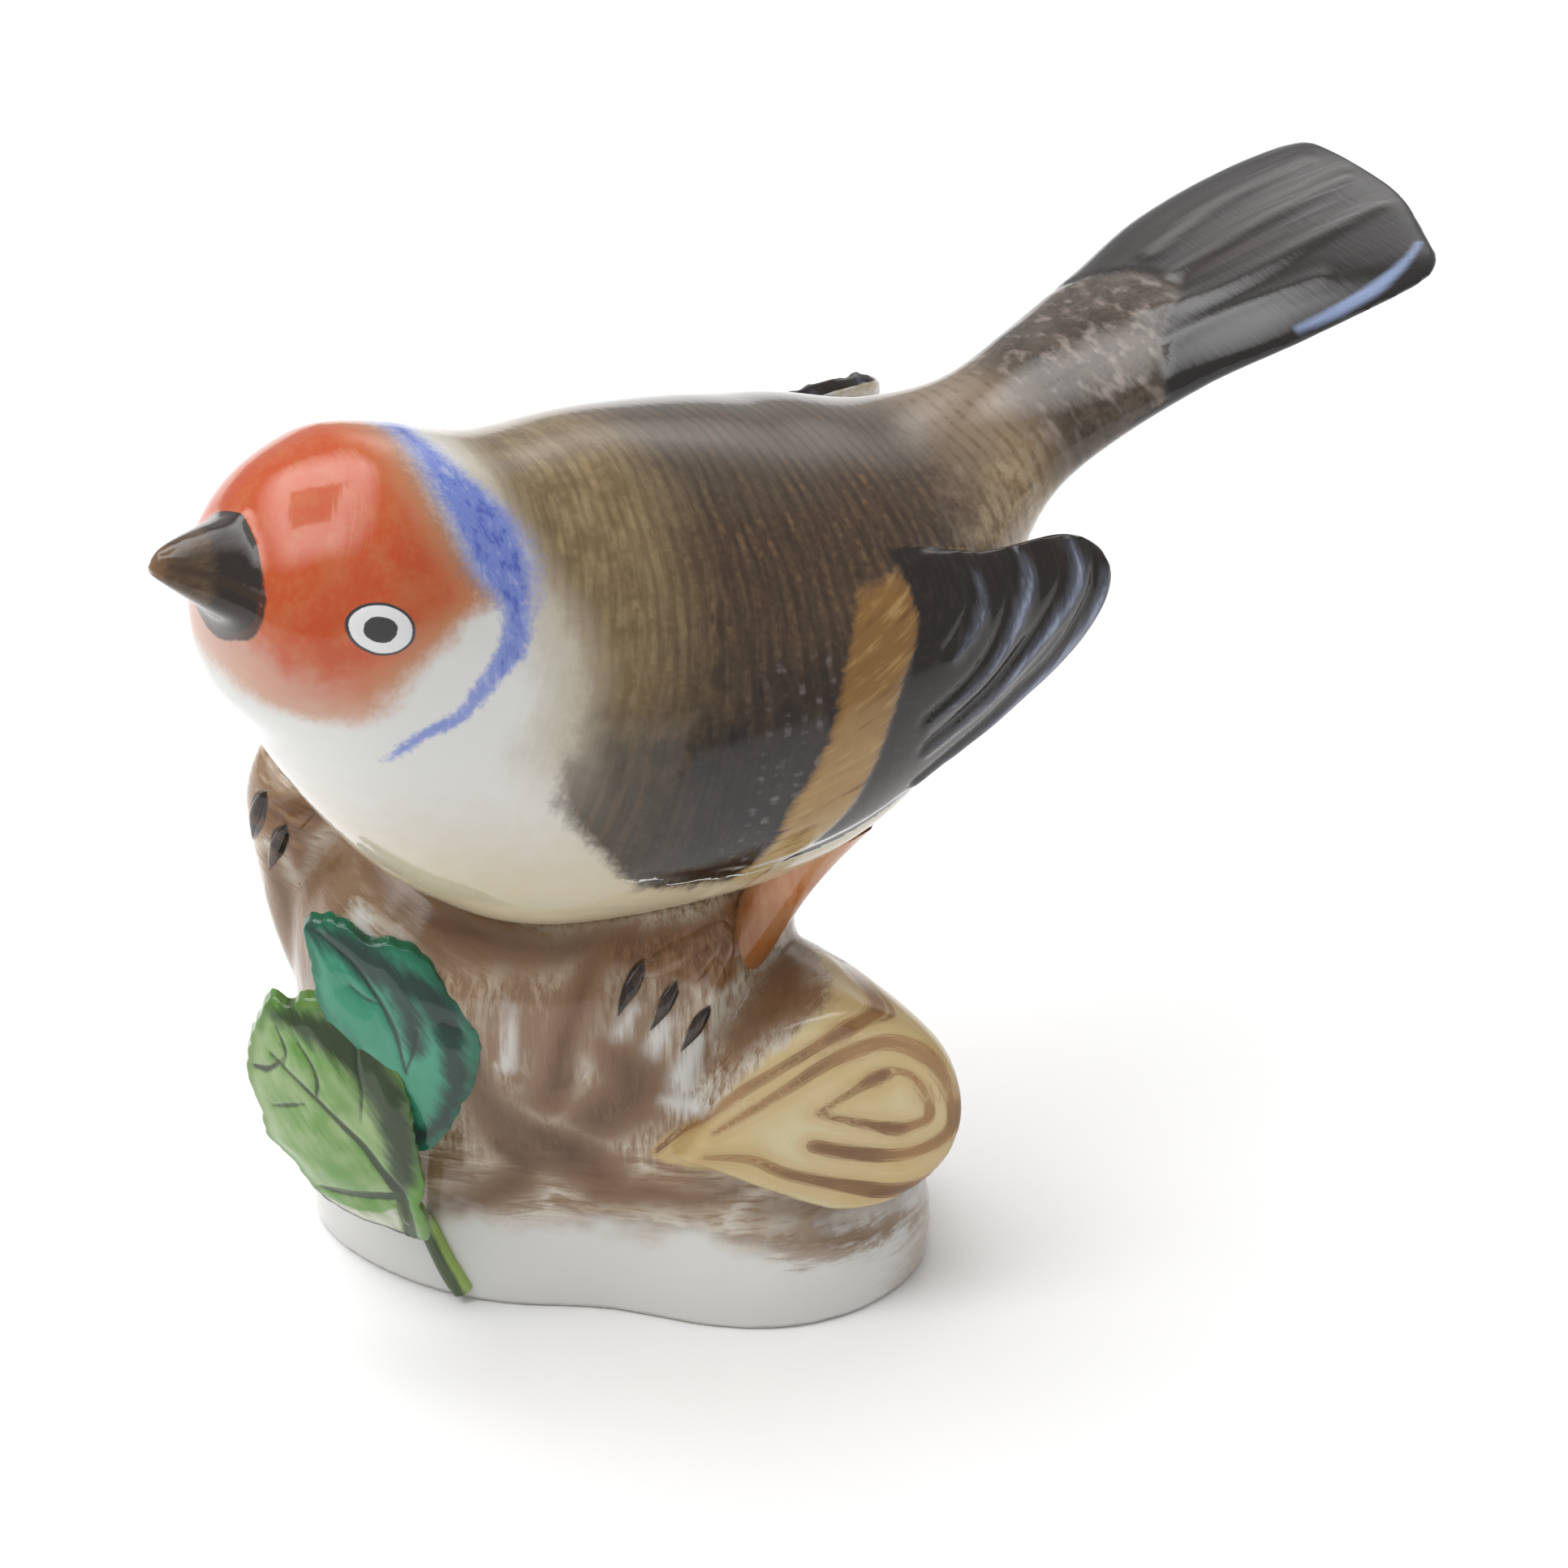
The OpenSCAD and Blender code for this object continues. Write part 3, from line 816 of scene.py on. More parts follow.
PAINTS = Paints()


class Enamels:
    """Makes each finish of the figurine once."""

    @staticmethod
    def bird() -> bpy.types.Material:
        """Paints the bird: mask, nape, back, wing bars, flight feathers and tail.

        Returns:
            The material.
        """
        g, c = Glaze("bird_enamel", 0.09), PAINTS
        z = g.part("Z")
        fine = g.clouds(2.2, 3.0)
        soft = g.clouds(0.5, 2.0)
        station, turn = g.field("station"), g.field("turn")
        hairs = g.clouds(1.0, 2.0, at=g.vector(station * 1.6, turn * 0.06, 0.0), rough=0.6)

        low = g.step(z + soft * 5.0, 56.0, 40.0)
        colour = g.mix(low, c.white, c.cream)
        colour = g.lay(colour, c.moss, g.field("moss") + soft * 1.2, -1.0, 1.2, 0.6)

        edge = g.field("mantle") + fine * 1.0 + soft * 2.0 + hairs * 1.2
        spread = g.field("spread")
        colour = g.mix(g.step(edge + spread * 2.4, -2.0, 3.0) * (0.25 + spread * 0.4), colour, c.straw)
        back = Enamels._back(g, station, turn, hairs, fine, soft)
        near = g.step(edge - spread * 0.6, -0.8, 1.2)
        colour = g.mix(near * (1.0 - spread * g.step(edge, 4.0, 0.5) * 0.5), colour, back)

        reach = g.field("mask")
        mask = reach + soft * 1.6 + fine * 1.3
        warm = g.lay(c.red, c.vermilion, soft + fine * 0.5, -0.2, 0.3)
        warm = g.lay(warm, c.orange, reach + soft * 2.0, 4.2, 0.2, 0.85)
        warm = g.lay(warm, c.blush, g.field("chin") + soft * 0.6, 0.1, 1.0, 0.75)
        colour = g.lay(colour, warm, mask, -1.9, 1.3)

        dab = g.clouds(1.2, 3.0, stretch=(1.0, 0.8, 0.4), rough=0.65)
        blue = g.lay(c.blue, c.deep_blue, dab, 0.0, 0.16)
        blue = g.lay(blue, c.pale_blue, dab + soft * 0.4, -0.04, -0.25)
        nape = g.field("nape")
        blue = g.lay(blue, c.pale_blue, nape + soft, 1.2, 0.0, 0.5)
        temple = g.field("temple")
        speck = g.clouds(3.4, 2.0, rough=0.7)
        shade = g.step(nape + speck * 3.0 + fine * 2.0, -2.4, 0.4) * g.step(reach + fine * 2.0, -2.4, -0.2)
        colour = g.mix(shade * temple * 0.5, colour, c.slate)
        loose = nape + fine * 1.0 + speck * temple * 1.6
        veil = g.step(loose, -0.3 - temple * 0.7, 0.35 + temple * 0.9, 0.95)
        colour = g.mix(veil, colour, blue)
        colour = g.lay(colour, c.soot, g.field("bill") + fine * 0.3, -0.15, 0.12, 0.9)
        return g.finish(Enamels._eye(g, colour), hairs * 0.7)

    @staticmethod
    def _back(g: Glaze, station: Wire, turn: Wire, hairs: Wire, fine: Wire, soft: Wire) -> Wire:
        """Paints the back, the wings and the tail over one another.

        Args:
            g: The glaze in work.
            station: Millimetres along the spine from the neck.
            turn: Degrees round the spine from the top.
            hairs: Brush hairs round the body.
            fine: Fine clouds.
            soft: Soft clouds.

        Returns:
            The colour.
        """
        c = PAINTS
        row = (station + g.clouds(0.1, 1.0) * 2.6 + g.clouds(0.6, 1.0) * 0.3) / 1.3
        bars = (row * (2 * math.pi)).wave()
        count = g.add("ShaderNodeMath", {"operation": "FLOOR"}, {0: row + 0.25})
        dash = g.clouds(1.0, 3.0, at=g.vector(count * 7.3, turn * 0.09, 0.0), rough=0.72)
        tick = g.clouds(1.0, 1.0, at=g.vector(count * 5.1, turn * 0.36, 4.0))
        dark = g.step(turn + soft * 34.0 + station * 0.5, 62.0, 96.0)
        front = g.step(station + soft * 7.0 + turn * 0.01, 11.0, 1.5)
        crown = g.step(turn + soft * 20.0, 38.0, 14.0)
        ground = g.lay(c.back_deep, c.back_brown, fine * 0.6 + hairs, -0.25, 0.3)
        ground = g.mix(crown * 0.5, ground, c.crown)
        ground = g.mix(dark, ground, g.lay(c.flank_black, c.flank_brown, fine + hairs, -0.1, 0.4))
        sage = g.lay(c.sage_deep, c.sage, soft + hairs * 0.8 + fine * 0.4, -0.3, 0.3)
        ground = g.mix(front * (1.0 - dark * 0.75), ground, sage)
        trough = g.step(bars, 0.1, -0.85) * g.step(dash, -0.3, 0.15)
        ground = g.mix(trough * 0.5, ground, g.mix(front, c.trough, c.trough_sage))
        crest = g.step(bars, 0.0, 0.95) * g.step(dash + tick * 0.35, -0.06, 0.16)
        glow = g.mix(dark, g.mix(front, c.crest, c.crest_sage), c.crest_flank)
        crest = crest * (0.6 - crown * 0.3 - front * 0.15) * g.step(soft + fine * 0.7, -0.25, 0.2)
        ground = g.mix(crest, ground, glow)
        nick = g.step(bars + fine, -0.3, 0.9) * g.step(tick + fine * 0.3, -0.02, 0.3)
        nick = nick * g.step(g.field("fleck") + soft * 1.2, 0.2, 0.7)
        ground = g.mix(nick * 0.75, ground, c.fleck)

        side = g.step(turn + soft * 20.0, 35.0, 85.0)
        rump = g.step(station + soft * 5.0 + fine * 2.0 + side * 3.0, 31.0, 40.0)
        arcs = g.step(bars, 0.0, 0.9) * g.step(dash, -0.2, 0.15)
        light = g.mix(side, c.rump_top, g.lay(c.rump_tan, c.rump_pale, soft + fine, -0.3, 0.3))
        light = g.mix(arcs * 0.5, light, c.rump_bar)
        ground = g.mix(rump * 0.92, ground, light)
        ground = Enamels._tail(g, ground, fine, soft)
        return Enamels._wing(g, ground, fine, soft)

    @staticmethod
    def _tail(g: Glaze, ground: Wire, fine: Wire, soft: Wire) -> Wire:
        """Paints the tail's coverts and its long feathers.

        Args:
            g: The glaze in work.
            ground: The colour of the back.
            fine: Fine clouds.
            soft: Soft clouds.

        Returns:
            The colour.
        """
        c = PAINTS
        along, across = g.field("along"), g.field("across")
        covert = g.step(along + fine * 3.0 + soft * 4.0 + abs(across) * 0.15, -6.5, -1.0)
        dapple = g.clouds(1.0, 2.0, at=g.vector(along * 0.8, across * 0.42, 0.0), rough=0.55)
        mottle = g.lay(c.covert_deep, c.covert, soft + fine, -0.3, 0.3)
        mottle = g.lay(mottle, c.covert_pale, dapple, 0.0, 0.2, 0.75)
        ground = g.mix(covert * 0.95, ground, mottle)
        streak = g.clouds(1.0, 4.0, at=g.vector(along * 0.07, across * 1.1, 0.0), rough=0.62)
        broad = g.clouds(1.0, 1.0, at=g.vector(along * 0.025, across * 0.2, 3.0))
        blade = g.lay(c.tail_black, c.tail_grey, streak + broad, -0.2, 0.35)
        blade = g.lay(blade, c.tail_ash, broad + streak * 0.3, 0.0, 0.3, 0.5)
        dry = g.step(streak, 0.0, 0.2) * g.step(along, 20.0, 28.0) * g.step(g.field("tip"), -0.5, 3.0)
        blade = g.mix(dry * 0.3, blade, c.tail_silver)
        blade = g.lay(blade, c.quill, g.field("quills") + streak * 1.4, -0.8, 0.6, 0.35)
        blade = g.lay(blade, c.tail_black, across + streak * 2.5, -2.4, -4.4, 0.9)
        blade = g.lay(blade, c.tail_blue, g.field("sheen") + streak * 0.6, -0.4, 0.3, 0.8)
        return g.lay(ground, blade, g.field("blade") + fine * 1.2 + streak, -0.9, 0.9)

    @staticmethod
    def _wing(g: Glaze, ground: Wire, fine: Wire, soft: Wire) -> Wire:
        """Paints the flight feathers, the ochre bar and the wing's pale rim and lining.

        Args:
            g: The glaze in work.
            ground: The colour of the back and the tail.
            fine: Fine clouds.
            soft: Soft clouds.

        Returns:
            The colour.
        """
        c = PAINTS
        x, z = g.part("X"), g.part("Z")
        spread = g.vector(g.field("barb") * 2.2, g.field("vane") * 0.05, 0.0)
        feather = g.clouds(1.0, 4.0, at=spread, rough=0.66)
        quill = g.lay(c.wing_black, c.wing_brown, feather, -0.05, 0.35)
        lit = g.field("strokes") + feather * 0.9
        quill = g.lay(quill, c.wing_slate, lit, -0.5, 0.3, 0.5)
        quill = g.lay(quill, c.wing_blue, lit, 0.05, 0.45, 0.7)
        ground = g.lay(ground, quill, g.field("flight") + fine * 0.8, -0.4, 0.5)
        comb = g.clouds(1.0, 4.0, at=g.vector(x * 0.16 + z * 0.05, z * 1.5 - x * 0.5, 0.0), rough=0.62)
        top = g.step(z + soft * 5.0, 49.0, 57.0)
        foot = g.step(z + soft * 4.0, 47.0, 41.0)
        ochre = g.mix(top, c.ochre, c.ochre_top)
        ochre = g.mix(foot, ochre, c.ochre_foot)
        ochre = g.lay(ochre, c.ochre_light, comb + soft * 0.3, 0.0, 0.2, 0.6)
        ochre = g.lay(ochre, c.ochre_deep, comb, -0.05, -0.2, 0.85)
        ochre = g.lay(ochre, c.ochre_edge, g.field("band") + comb * 0.6, 0.9, 0.0, 0.5)
        band = g.field("band") + fine * 0.5 + comb * 0.9
        ground = g.lay(ground, ochre, band, -0.3, 0.35)
        ground = g.lay(ground, c.white, g.field("edge"), 0.0, 0.5)
        lining = g.lay(c.cream, c.white, soft + fine, -0.2, 0.2)
        return g.lay(ground, lining, g.field("lining"), 0.1, 0.5)

    @staticmethod
    def _eye(g: Glaze, under: Wire) -> Wire:
        """Paints both eyes: a dark outline, a white ring and a dark pupil.

        Args:
            g: The glaze in work.
            under: The colour round the eyes.

        Returns:
            The colour.
        """
        c = PAINTS
        wobble = g.clouds(0.45, 1.0) * 0.16
        reach = g.field("eye") + wobble
        colour = g.lay(under, c.eye_line, reach, 1.05, 0.99)
        colour = g.lay(colour, c.eye_white, reach, 0.945, 0.90)
        pupil = g.field("pupil") + g.clouds(0.7, 1.0) * 0.25
        return g.lay(colour, c.pupil, pupil, 1.05, 0.97)

    @staticmethod
    def beak() -> bpy.types.Material:
        """Paints the beak: brown horn, dark at the face and at the gape, tan at the point.

        Returns:
            The material.
        """
        g, c = Glaze("beak_enamel", 0.09), PAINTS
        hair = g.clouds(1.4, 3.0, stretch=(0.4, 1.2, 1.2), rough=0.6)
        colour = g.lay(c.horn_deep, c.horn, hair, -0.2, 0.3)
        colour = g.lay(colour, c.soot, g.field("face") + hair * 0.6, 3.0, 2.2, 0.9)
        colour = g.lay(colour, c.bark, g.field("gape") + hair * 0.3, -0.35, 0.1, 0.8)
        colour = g.lay(colour, c.horn_tip, g.field("face") + hair * 1.5, 4.6, 6.6, 0.7)
        return g.finish(colour, hair * 0.6)

    @staticmethod
    def leg() -> bpy.types.Material:
        """Paints a leg in thin terracotta, rusty towards the wood.

        Returns:
            The material.
        """
        g, c = Glaze("leg_enamel", 0.12), PAINTS
        hair = g.clouds(0.8, 3.0, stretch=(1.2, 1.2, 0.4), rough=0.6)
        colour = g.lay(c.terracotta, c.terracotta_thin, hair + g.clouds(0.25, 1.0), -0.3, 0.25)
        colour = g.lay(colour, c.leg_rust, g.part("Z") + hair * 3.0, 35.5, 32.0, 0.6)
        return g.finish(colour, hair * 0.8)

    @staticmethod
    def wood(name: str) -> bpy.types.Material:
        """Paints the wood and the feet: brown washes brushed over white, a sawn face and dark claws.

        Args:
            name: Name of the material.

        Returns:
            The material.
        """
        g, c = Glaze(name, 0.1), PAINTS
        s, t, z = g.field("s"), g.field("t"), g.part("Z")
        upright = g.clouds(1.0, 5.0, at=g.vector(s * 2.1, t * 1.5, z * 0.13), rough=0.7, twist=0.3)
        lying = g.clouds(1.0, 4.0, at=g.vector(s * 0.2, t * 0.2, z * 1.3), rough=0.66, twist=0.5)
        lean = g.vector(s * 0.12 - z * 0.1, t * 0.3, z * 1.3 + s * 0.5)
        sloping = g.clouds(1.0, 4.0, at=lean, rough=0.66, twist=0.3)
        level, slant = g.field("level"), g.field("slant")
        hair = lying * level + upright * (1.0 - level)
        hair = sloping * slant + hair * (1.0 - slant)
        cloud = g.clouds(0.16, 3.0, rough=0.55)
        patch = g.clouds(0.45, 4.0, rough=0.62)
        ragged = hair * 4.6 + cloud * 1.4 + patch * 1.6
        tint = g.lay(c.wood_tint, c.wood_pale, hair * 1.3 + cloud * 0.7, -0.16, 0.16)
        pale = g.lay(tint, c.wood_white, cloud + patch * 0.6 + hair * 0.8, 0.0, 0.25)
        thin = g.lay(c.wash, c.wash_thin, hair + patch * 0.5, -0.25, 0.25)
        deep = g.lay(c.fold_deep, c.fold, hair, -0.2, 0.3)
        colour = g.lay(pale, c.white, g.field("bare") + ragged * 0.5, -0.8, 0.9, 0.9)
        colour = g.lay(colour, c.mauve, g.field("mauve") + ragged, -1.2, 0.8, 0.55)
        colour = g.lay(colour, thin, g.field("wash") + ragged, -1.1, 0.7, 0.92)
        colour = g.lay(colour, deep, g.field("wash") + ragged * 1.3, 0.4, 2.0, 0.65)
        colour = g.lay(colour, deep, g.field("dark") + ragged * 0.8, -0.5, 0.8, 0.75)
        edge = z + cloud * 7.0 + g.clouds(0.09, 1.0) * 5.0 + lying * 1.5 - s * 0.02
        colour = g.mix(g.step(edge, 9.2, 6.2) * g.step(g.field("mauve") + ragged, 0.8, -0.6), colour, c.white)
        corner = g.field("corner") + lying * 2.2 + cloud * 2.0
        colour = g.lay(colour, c.corner, corner, -0.4, 1.8, 0.6)
        rust = g.lay(c.rust_deep, c.rust, hair + patch * 0.4, -0.2, 0.25)
        colour = g.lay(colour, rust, g.field("rust") + ragged * 0.55, -0.55, 0.55, 0.92)
        line = g.step(z + g.clouds(0.4, 2.0) * 0.5, 0.55, 0.12)
        colour = g.mix(line * 0.5, colour, c.foot_line)
        colour = Enamels._sawn(g, colour, hair)
        nail = g.lay(c.claw_black, c.claw_brown, patch + hair, 0.0, 0.35)
        colour = g.lay(colour, nail, g.field("claw") + hair * 0.25, -0.08, 0.08)
        under = g.field("under")
        bare = g.lay(c.bisque, c.bisque_grey, g.clouds(0.8, 3.0), -0.2, 0.3)
        colour = g.mix(under, colour, bare)
        return g.finish(colour, hair * 1.2, roughness=under * 0.6 + 0.1)

    @staticmethod
    def _sawn(g: Glaze, under: Wire, hair: Wire) -> Wire:
        """Paints the log's sawn face: pale yellow with brush-drawn rings.

        Args:
            g: The glaze in work.
            under: The colour of the wood round it.
            hair: Brush hairs of that wood.

        Returns:
            The colour.
        """
        c = PAINTS
        wander = g.clouds(0.18, 2.0)
        round_way = g.vector(g.field("rings") * 3.6, g.field("ring_turn") * 0.02, 0.0)
        comb = g.clouds(1.0, 4.0, at=round_way, rough=0.66)
        pale = g.lay(c.sawn, c.sawn_cream, wander + comb * 0.3, -0.3, 0.3)
        pale = g.mix(g.field("apex") * 0.6, pale, c.sawn_gold)
        drawn = g.field("rings") + comb * 1.5 + wander * 0.3
        thick = g.step(g.clouds(0.13, 2.0) + comb * 0.5, -0.22, 0.3)
        brown = g.mix(thick, c.ring_tan, c.ring_brown)
        wood = g.lay(pale, c.ring_wash, drawn, -1.7, -0.2, 0.5)
        wood = g.lay(wood, brown, drawn, -0.32, 0.22, 0.92)
        wood = g.lay(wood, c.ring_deep, g.field("ring_dark") + comb * 0.8, -0.5, 0.5, 0.8)
        wood = g.mix(g.step(comb, 0.06, 0.3, 0.3) * g.step(drawn, -3.0, -0.6), wood, c.ring_hair)
        face = g.field("sawn") + g.clouds(0.6, 2.0) * 0.7 + hair * 0.3
        return g.lay(under, wood, face, -0.35, 0.35)

    @staticmethod
    def leaf(name: str, light: Colour, middle: Colour, deep: Colour, ink: Colour) -> bpy.types.Material:
        """Paints a leaf.

        Args:
            name: Name of the material.
            light: Palest green.
            middle: Usual green.
            deep: Green along its edges.
            ink: Colour of its veins and shadows.

        Returns:
            The material.
        """
        g, c = Glaze(name, 0.1), PAINTS
        cloud = g.clouds(0.22, 3.0, rough=0.55)
        s, z = g.field("s"), g.part("Z")
        hair = g.clouds(1.0, 4.0, at=g.vector((s + z * 0.75) * 1.1, (z - s * 0.75) * 0.16, 0.0), rough=0.66)
        colour = g.lay(light, middle, cloud + hair * 0.5, -0.2, 0.24)
        colour = g.lay(colour, middle, g.field("bloom") + cloud * 3.0 + hair, -1.4, 1.4, 0.85)
        colour = g.lay(colour, deep, g.field("margin") + cloud * 1.8 + hair * 0.5, 0.75, 0.05, 0.75)
        colour = g.lay(colour, light, g.field("glow") + cloud + hair * 0.8, -0.7, 0.7, 0.85)
        colour = g.lay(colour, ink, g.field("shade") + hair * 2.0 + cloud * 1.0, -0.9, 0.5, 0.93)
        inner = g.lay(c.leaf_back, c.leaf_fold, hair + cloud, -0.2, 0.25)
        colour = g.lay(colour, inner, g.field("lip") + cloud, 0.0, 0.35)
        colour = g.mix(g.step(g.field("lip") + hair * 0.3, 0.0, 0.2) * g.step(g.field("margin"), 0.5, 0.2),
                       colour, ink)
        colour = g.lay(colour, ink, g.field("veins") + hair * 0.25, -0.16, 0.08, 0.9)
        return g.finish(colour, hair * 0.6)

    @staticmethod
    def twig() -> bpy.types.Material:
        """Paints the twig dark green, with a light flank.

        Returns:
            The material.
        """
        g, c = Glaze("twig_enamel", 0.1), PAINTS
        hair = g.clouds(1.0, 3.0, stretch=(1.2, 1.2, 0.3), rough=0.6)
        colour = g.lay(c.twig_green, c.twig_light, g.field("flank") + hair * 0.5, 0.1, 0.5)
        return g.finish(colour, hair * 0.6)


# ---------------------------------------------------------------- the bird

@dataclass
class Bird:
    """The bird: head, beak, body, tail and two wings, cast hollow and luted together."""

    voxel: float = 0.4
    wing_core: tuple[float, int] = (0.5, 6)
    wing_room: float = 1.9
    wing_shell: tuple[float, int] = (0.6, 8)
    ball_r: float = 12.0
    beak_r: float = 4.8
    tail_l: float = 30.8
    tail_rise: float = 14.5
    tail_end: float = 65.3
    tail_round: float = 0.4
    eye_turn: float = 80.0
    eye_at: float = 66.0
    eye_half: tuple[float, float] = (2.4, 1.8)
    pupil_half: tuple[float, float] = (1.2, 0.88)
    mask_edge: Points = ((0, 86), (34, 87), (48, 93), (60, 101), (66, 104), (76, 93), (86, 86), (95, 79),
                         (111, 74), (122, 66), (129, 58), (138, 46), (160, 34), (180, 31))
    nape_outer: Points = ((0, 96), (18, 103), (34, 115), (49, 120), (77, 118), (86, 116), (93, 111),
                          (100, 107), (110, 101), (116, 94), (125, 89), (132, 84))
    nape_inner: Points = ((0, 86), (33, 89), (47, 94), (59, 99), (67, 107), (84, 108), (95, 103), (105, 99),
                          (111, 93), (118, 88), (132, 85))
    mantle_front: Points = ((0, -12.0), (20, -11.0), (36, -8.5), (47, -6.0), (61, -3.8), (95, -2.5),
                            (103, -1.5), (115, 1.5), (122, 4.0), (129, 7.0))
    band_front: Points = ((38, -3), (41.6, -0.9), (44.3, 0.1), (47, 0.7), (49.4, 1.9), (51.2, 3), (52.9, 4),
                          (54.8, 4.8), (57.2, 6), (58.9, 7.3), (60.5, 8.5))
    band_back: Points = ((38, 0.5), (40.7, 1.8), (42.7, 3.9), (45.1, 5.8), (47.9, 7.1), (50.5, 8.1),
                         (52.8, 9.1), (55, 10.4), (56.6, 11.7), (58, 12.6), (59.8, 12.9))
    feathers: tuple[Points, ...] = (
        ((18.6, 59.2, 0.05), (18.4, 57.6, 0.2), (17.0, 56.2, 0.25), (15.0, 55.0, 0.05)),
        ((22.8, 59.4, 0.1), (22.7, 57.9, 0.35), (21.4, 56.3, 0.4), (19.5, 54.2, 0.35), (16.8, 52.2, 0.2),
         (12.4, 50.6, 0.05)),
        ((27.0, 59.2, 0.15), (27.0, 57.7, 0.4), (25.8, 55.9, 0.45), (23.4, 53.9, 0.4), (20.9, 52.0, 0.35),
         (18.0, 50.0, 0.25), (12.7, 48.0, 0.05)),
        ((29.2, 57.0, 0.1), (28.5, 54.9, 0.4), (26.9, 52.6, 0.5), (24.8, 50.3, 0.45), (22.1, 48.7, 0.4),
         (19.0, 46.7, 0.3), (13.0, 44.2, 0.05)),
    )
    feather_hub: tuple[float, float] = (12.0, 60.0)
    spine: Points = ((-13, 54.5), (3, 51), (16, 52), (23, 55.4), (29, 59.4), (35, 62.2))
    gape: Points = ((-39.2, 70.0, 0.12), (-37.9, 70.3, 0.14), (-36.3, 70.0, 0.16), (-34.7, 69.3, 0.2),
                    (-33.4, 68.5, 0.24), (-32.4, 68.1, 0.24))
    bill_edge: Points = ((0, 23.0), (40, 23.4), (70, 25.3), (95, 26.8), (113, 25.5), (130, 22.0), (180, 20.0))
    moss: Points = ((-2, 150, 0.1), (3, 140, 0.3), (8, 142, 0.1))
    coverts: Points = ((-11, 3.0), (-8, 5.0), (-5.5, 7.0), (-3.5, 9.0), (-2, 11.2), (0, 11.6), (3, 10.4),
                       (8, 6.0), (11, 3.0))
    quills: tuple[Points, ...] = (
        ((8.5, -2.0, 0.3), (14.0, -3.6, 0.25), (22.0, -3.3, 0.2), (29.0, -2.2, 0.2)),
        ((7.0, -5.6, 0.15), (12.0, -6.1, 0.15), (20.0, -7.4, 0.15)),
        ((13.0, 4.2, 0.5), (20.0, 6.2, 0.6), (29.0, 7.0, 0.4)),
        ((12.0, 0.6, 0.3), (20.0, 1.4, 0.35), (29.5, 2.6, 0.3)),
    )
    tail_blue: Points = ((15.5, -10.6, 0.1), (19.0, -10.9, 0.3), (23.0, -10.5, 0.4), (26.5, -9.2, 0.25),
                         (28.6, -7.8, 0.1))
    made: dict[str, Piece] = field(default_factory=dict)

    def __post_init__(self) -> None:
        """Finds the joints and the charts from the frame."""
        self.face = Seam.between("head", "beak")
        self.neck = Seam.between("head", "body")
        self.root = Seam.between("body", "tail")
        forward = np.array(self.face.normal)
        self.ball = np.array(self.face.centre) / MM - forward * math.sqrt(self.ball_r ** 2 - self.beak_r ** 2)
        self.forward = forward
        self.up = np.array([-forward[2], 0.0, forward[0]]) * (-1 if forward[0] < 0 else 1)

    def head_chart(self, at: Array) -> tuple[Array, Array]:
        """Reads each point's place on the ball of the head.

        Args:
            at: Points in millimetres.

        Returns:
            Degrees from the beak, and degrees round the beak from the crown to either side.
        """
        ray = at - self.ball
        ray /= np.linalg.norm(ray, axis=1)[:, None] + 1e-9
        apart = np.degrees(np.arccos(np.clip(ray @ self.forward, -1, 1)))
        return apart, np.degrees(np.arctan2(np.abs(ray[:, 1]), ray @ self.up))

    def spine_chart(self, at: Array) -> tuple[Array, Array]:
        """Reads each point's place along and round the body.

        Args:
            at: Points in millimetres.

        Returns:
            Millimetres along from the neck joint, and degrees round from the top.
        """
        ahead, behind = self.neck.past(at), -self.root.past(at)
        span = np.maximum(ahead + behind, 1.0)
        middle = through(self.spine, at[:, 0])
        return 50 * ahead / span, np.degrees(np.arctan2(np.abs(at[:, 1]), at[:, 2] - middle))

    def tail_chart(self, at: Array) -> tuple[Array, Array]:
        """Reads each point's place along and across the tail, in millimetres.

        Args:
            at: Points in millimetres.

        Returns:
            How far along from the tail's joint, and how far across.
        """
        turn = math.radians(self.tail_rise)
        way = np.array([math.cos(turn), 0.0, math.sin(turn)])
        return (at - np.array(self.root.centre) / MM) @ way, at[:, 1]

    def eye_chart(self, at: Array, half: tuple[float, float]) -> Array:
        """Measures distance from the eye's middle as a share of an oval's half sizes.

        Args:
            at: Points in millimetres.
            half: Half length and half height of the oval.

        Returns:
            The share at each point, which is 1 on the oval.
        """
        turn, apart = math.radians(self.eye_turn), math.radians(self.eye_at)
        side = np.array([0.0, -1.0, 0.0])
        round_way = math.cos(turn) * self.up + math.sin(turn) * side
        look = math.cos(apart) * self.forward + math.sin(apart) * round_way
        fold = np.where(at[:, 1:2] > 0, at * np.array([1, -1, 1]), at)
        long = self.forward - look * (self.forward @ look)
        long /= np.linalg.norm(long)
        tall = np.cross(look, long)
        ray = fold - (self.ball + look * self.ball_r)
        near = np.where(ray @ look > -4.0, 0.0, 9.0)
        return np.hypot((ray @ long) / half[0], (ray @ tall) / half[1]) + near

    def gape_line(self, at: Array) -> Array:
        """Measures how near each point is to the line where the beak closes."""
        return brush(at[:, [0, 2]], self.gape)

    def quill_lines(self, at: Array) -> Array:
        """Measures how far inside a light line of the tail each point lies."""
        return strokes(np.column_stack(self.tail_chart(at)), self.quills)

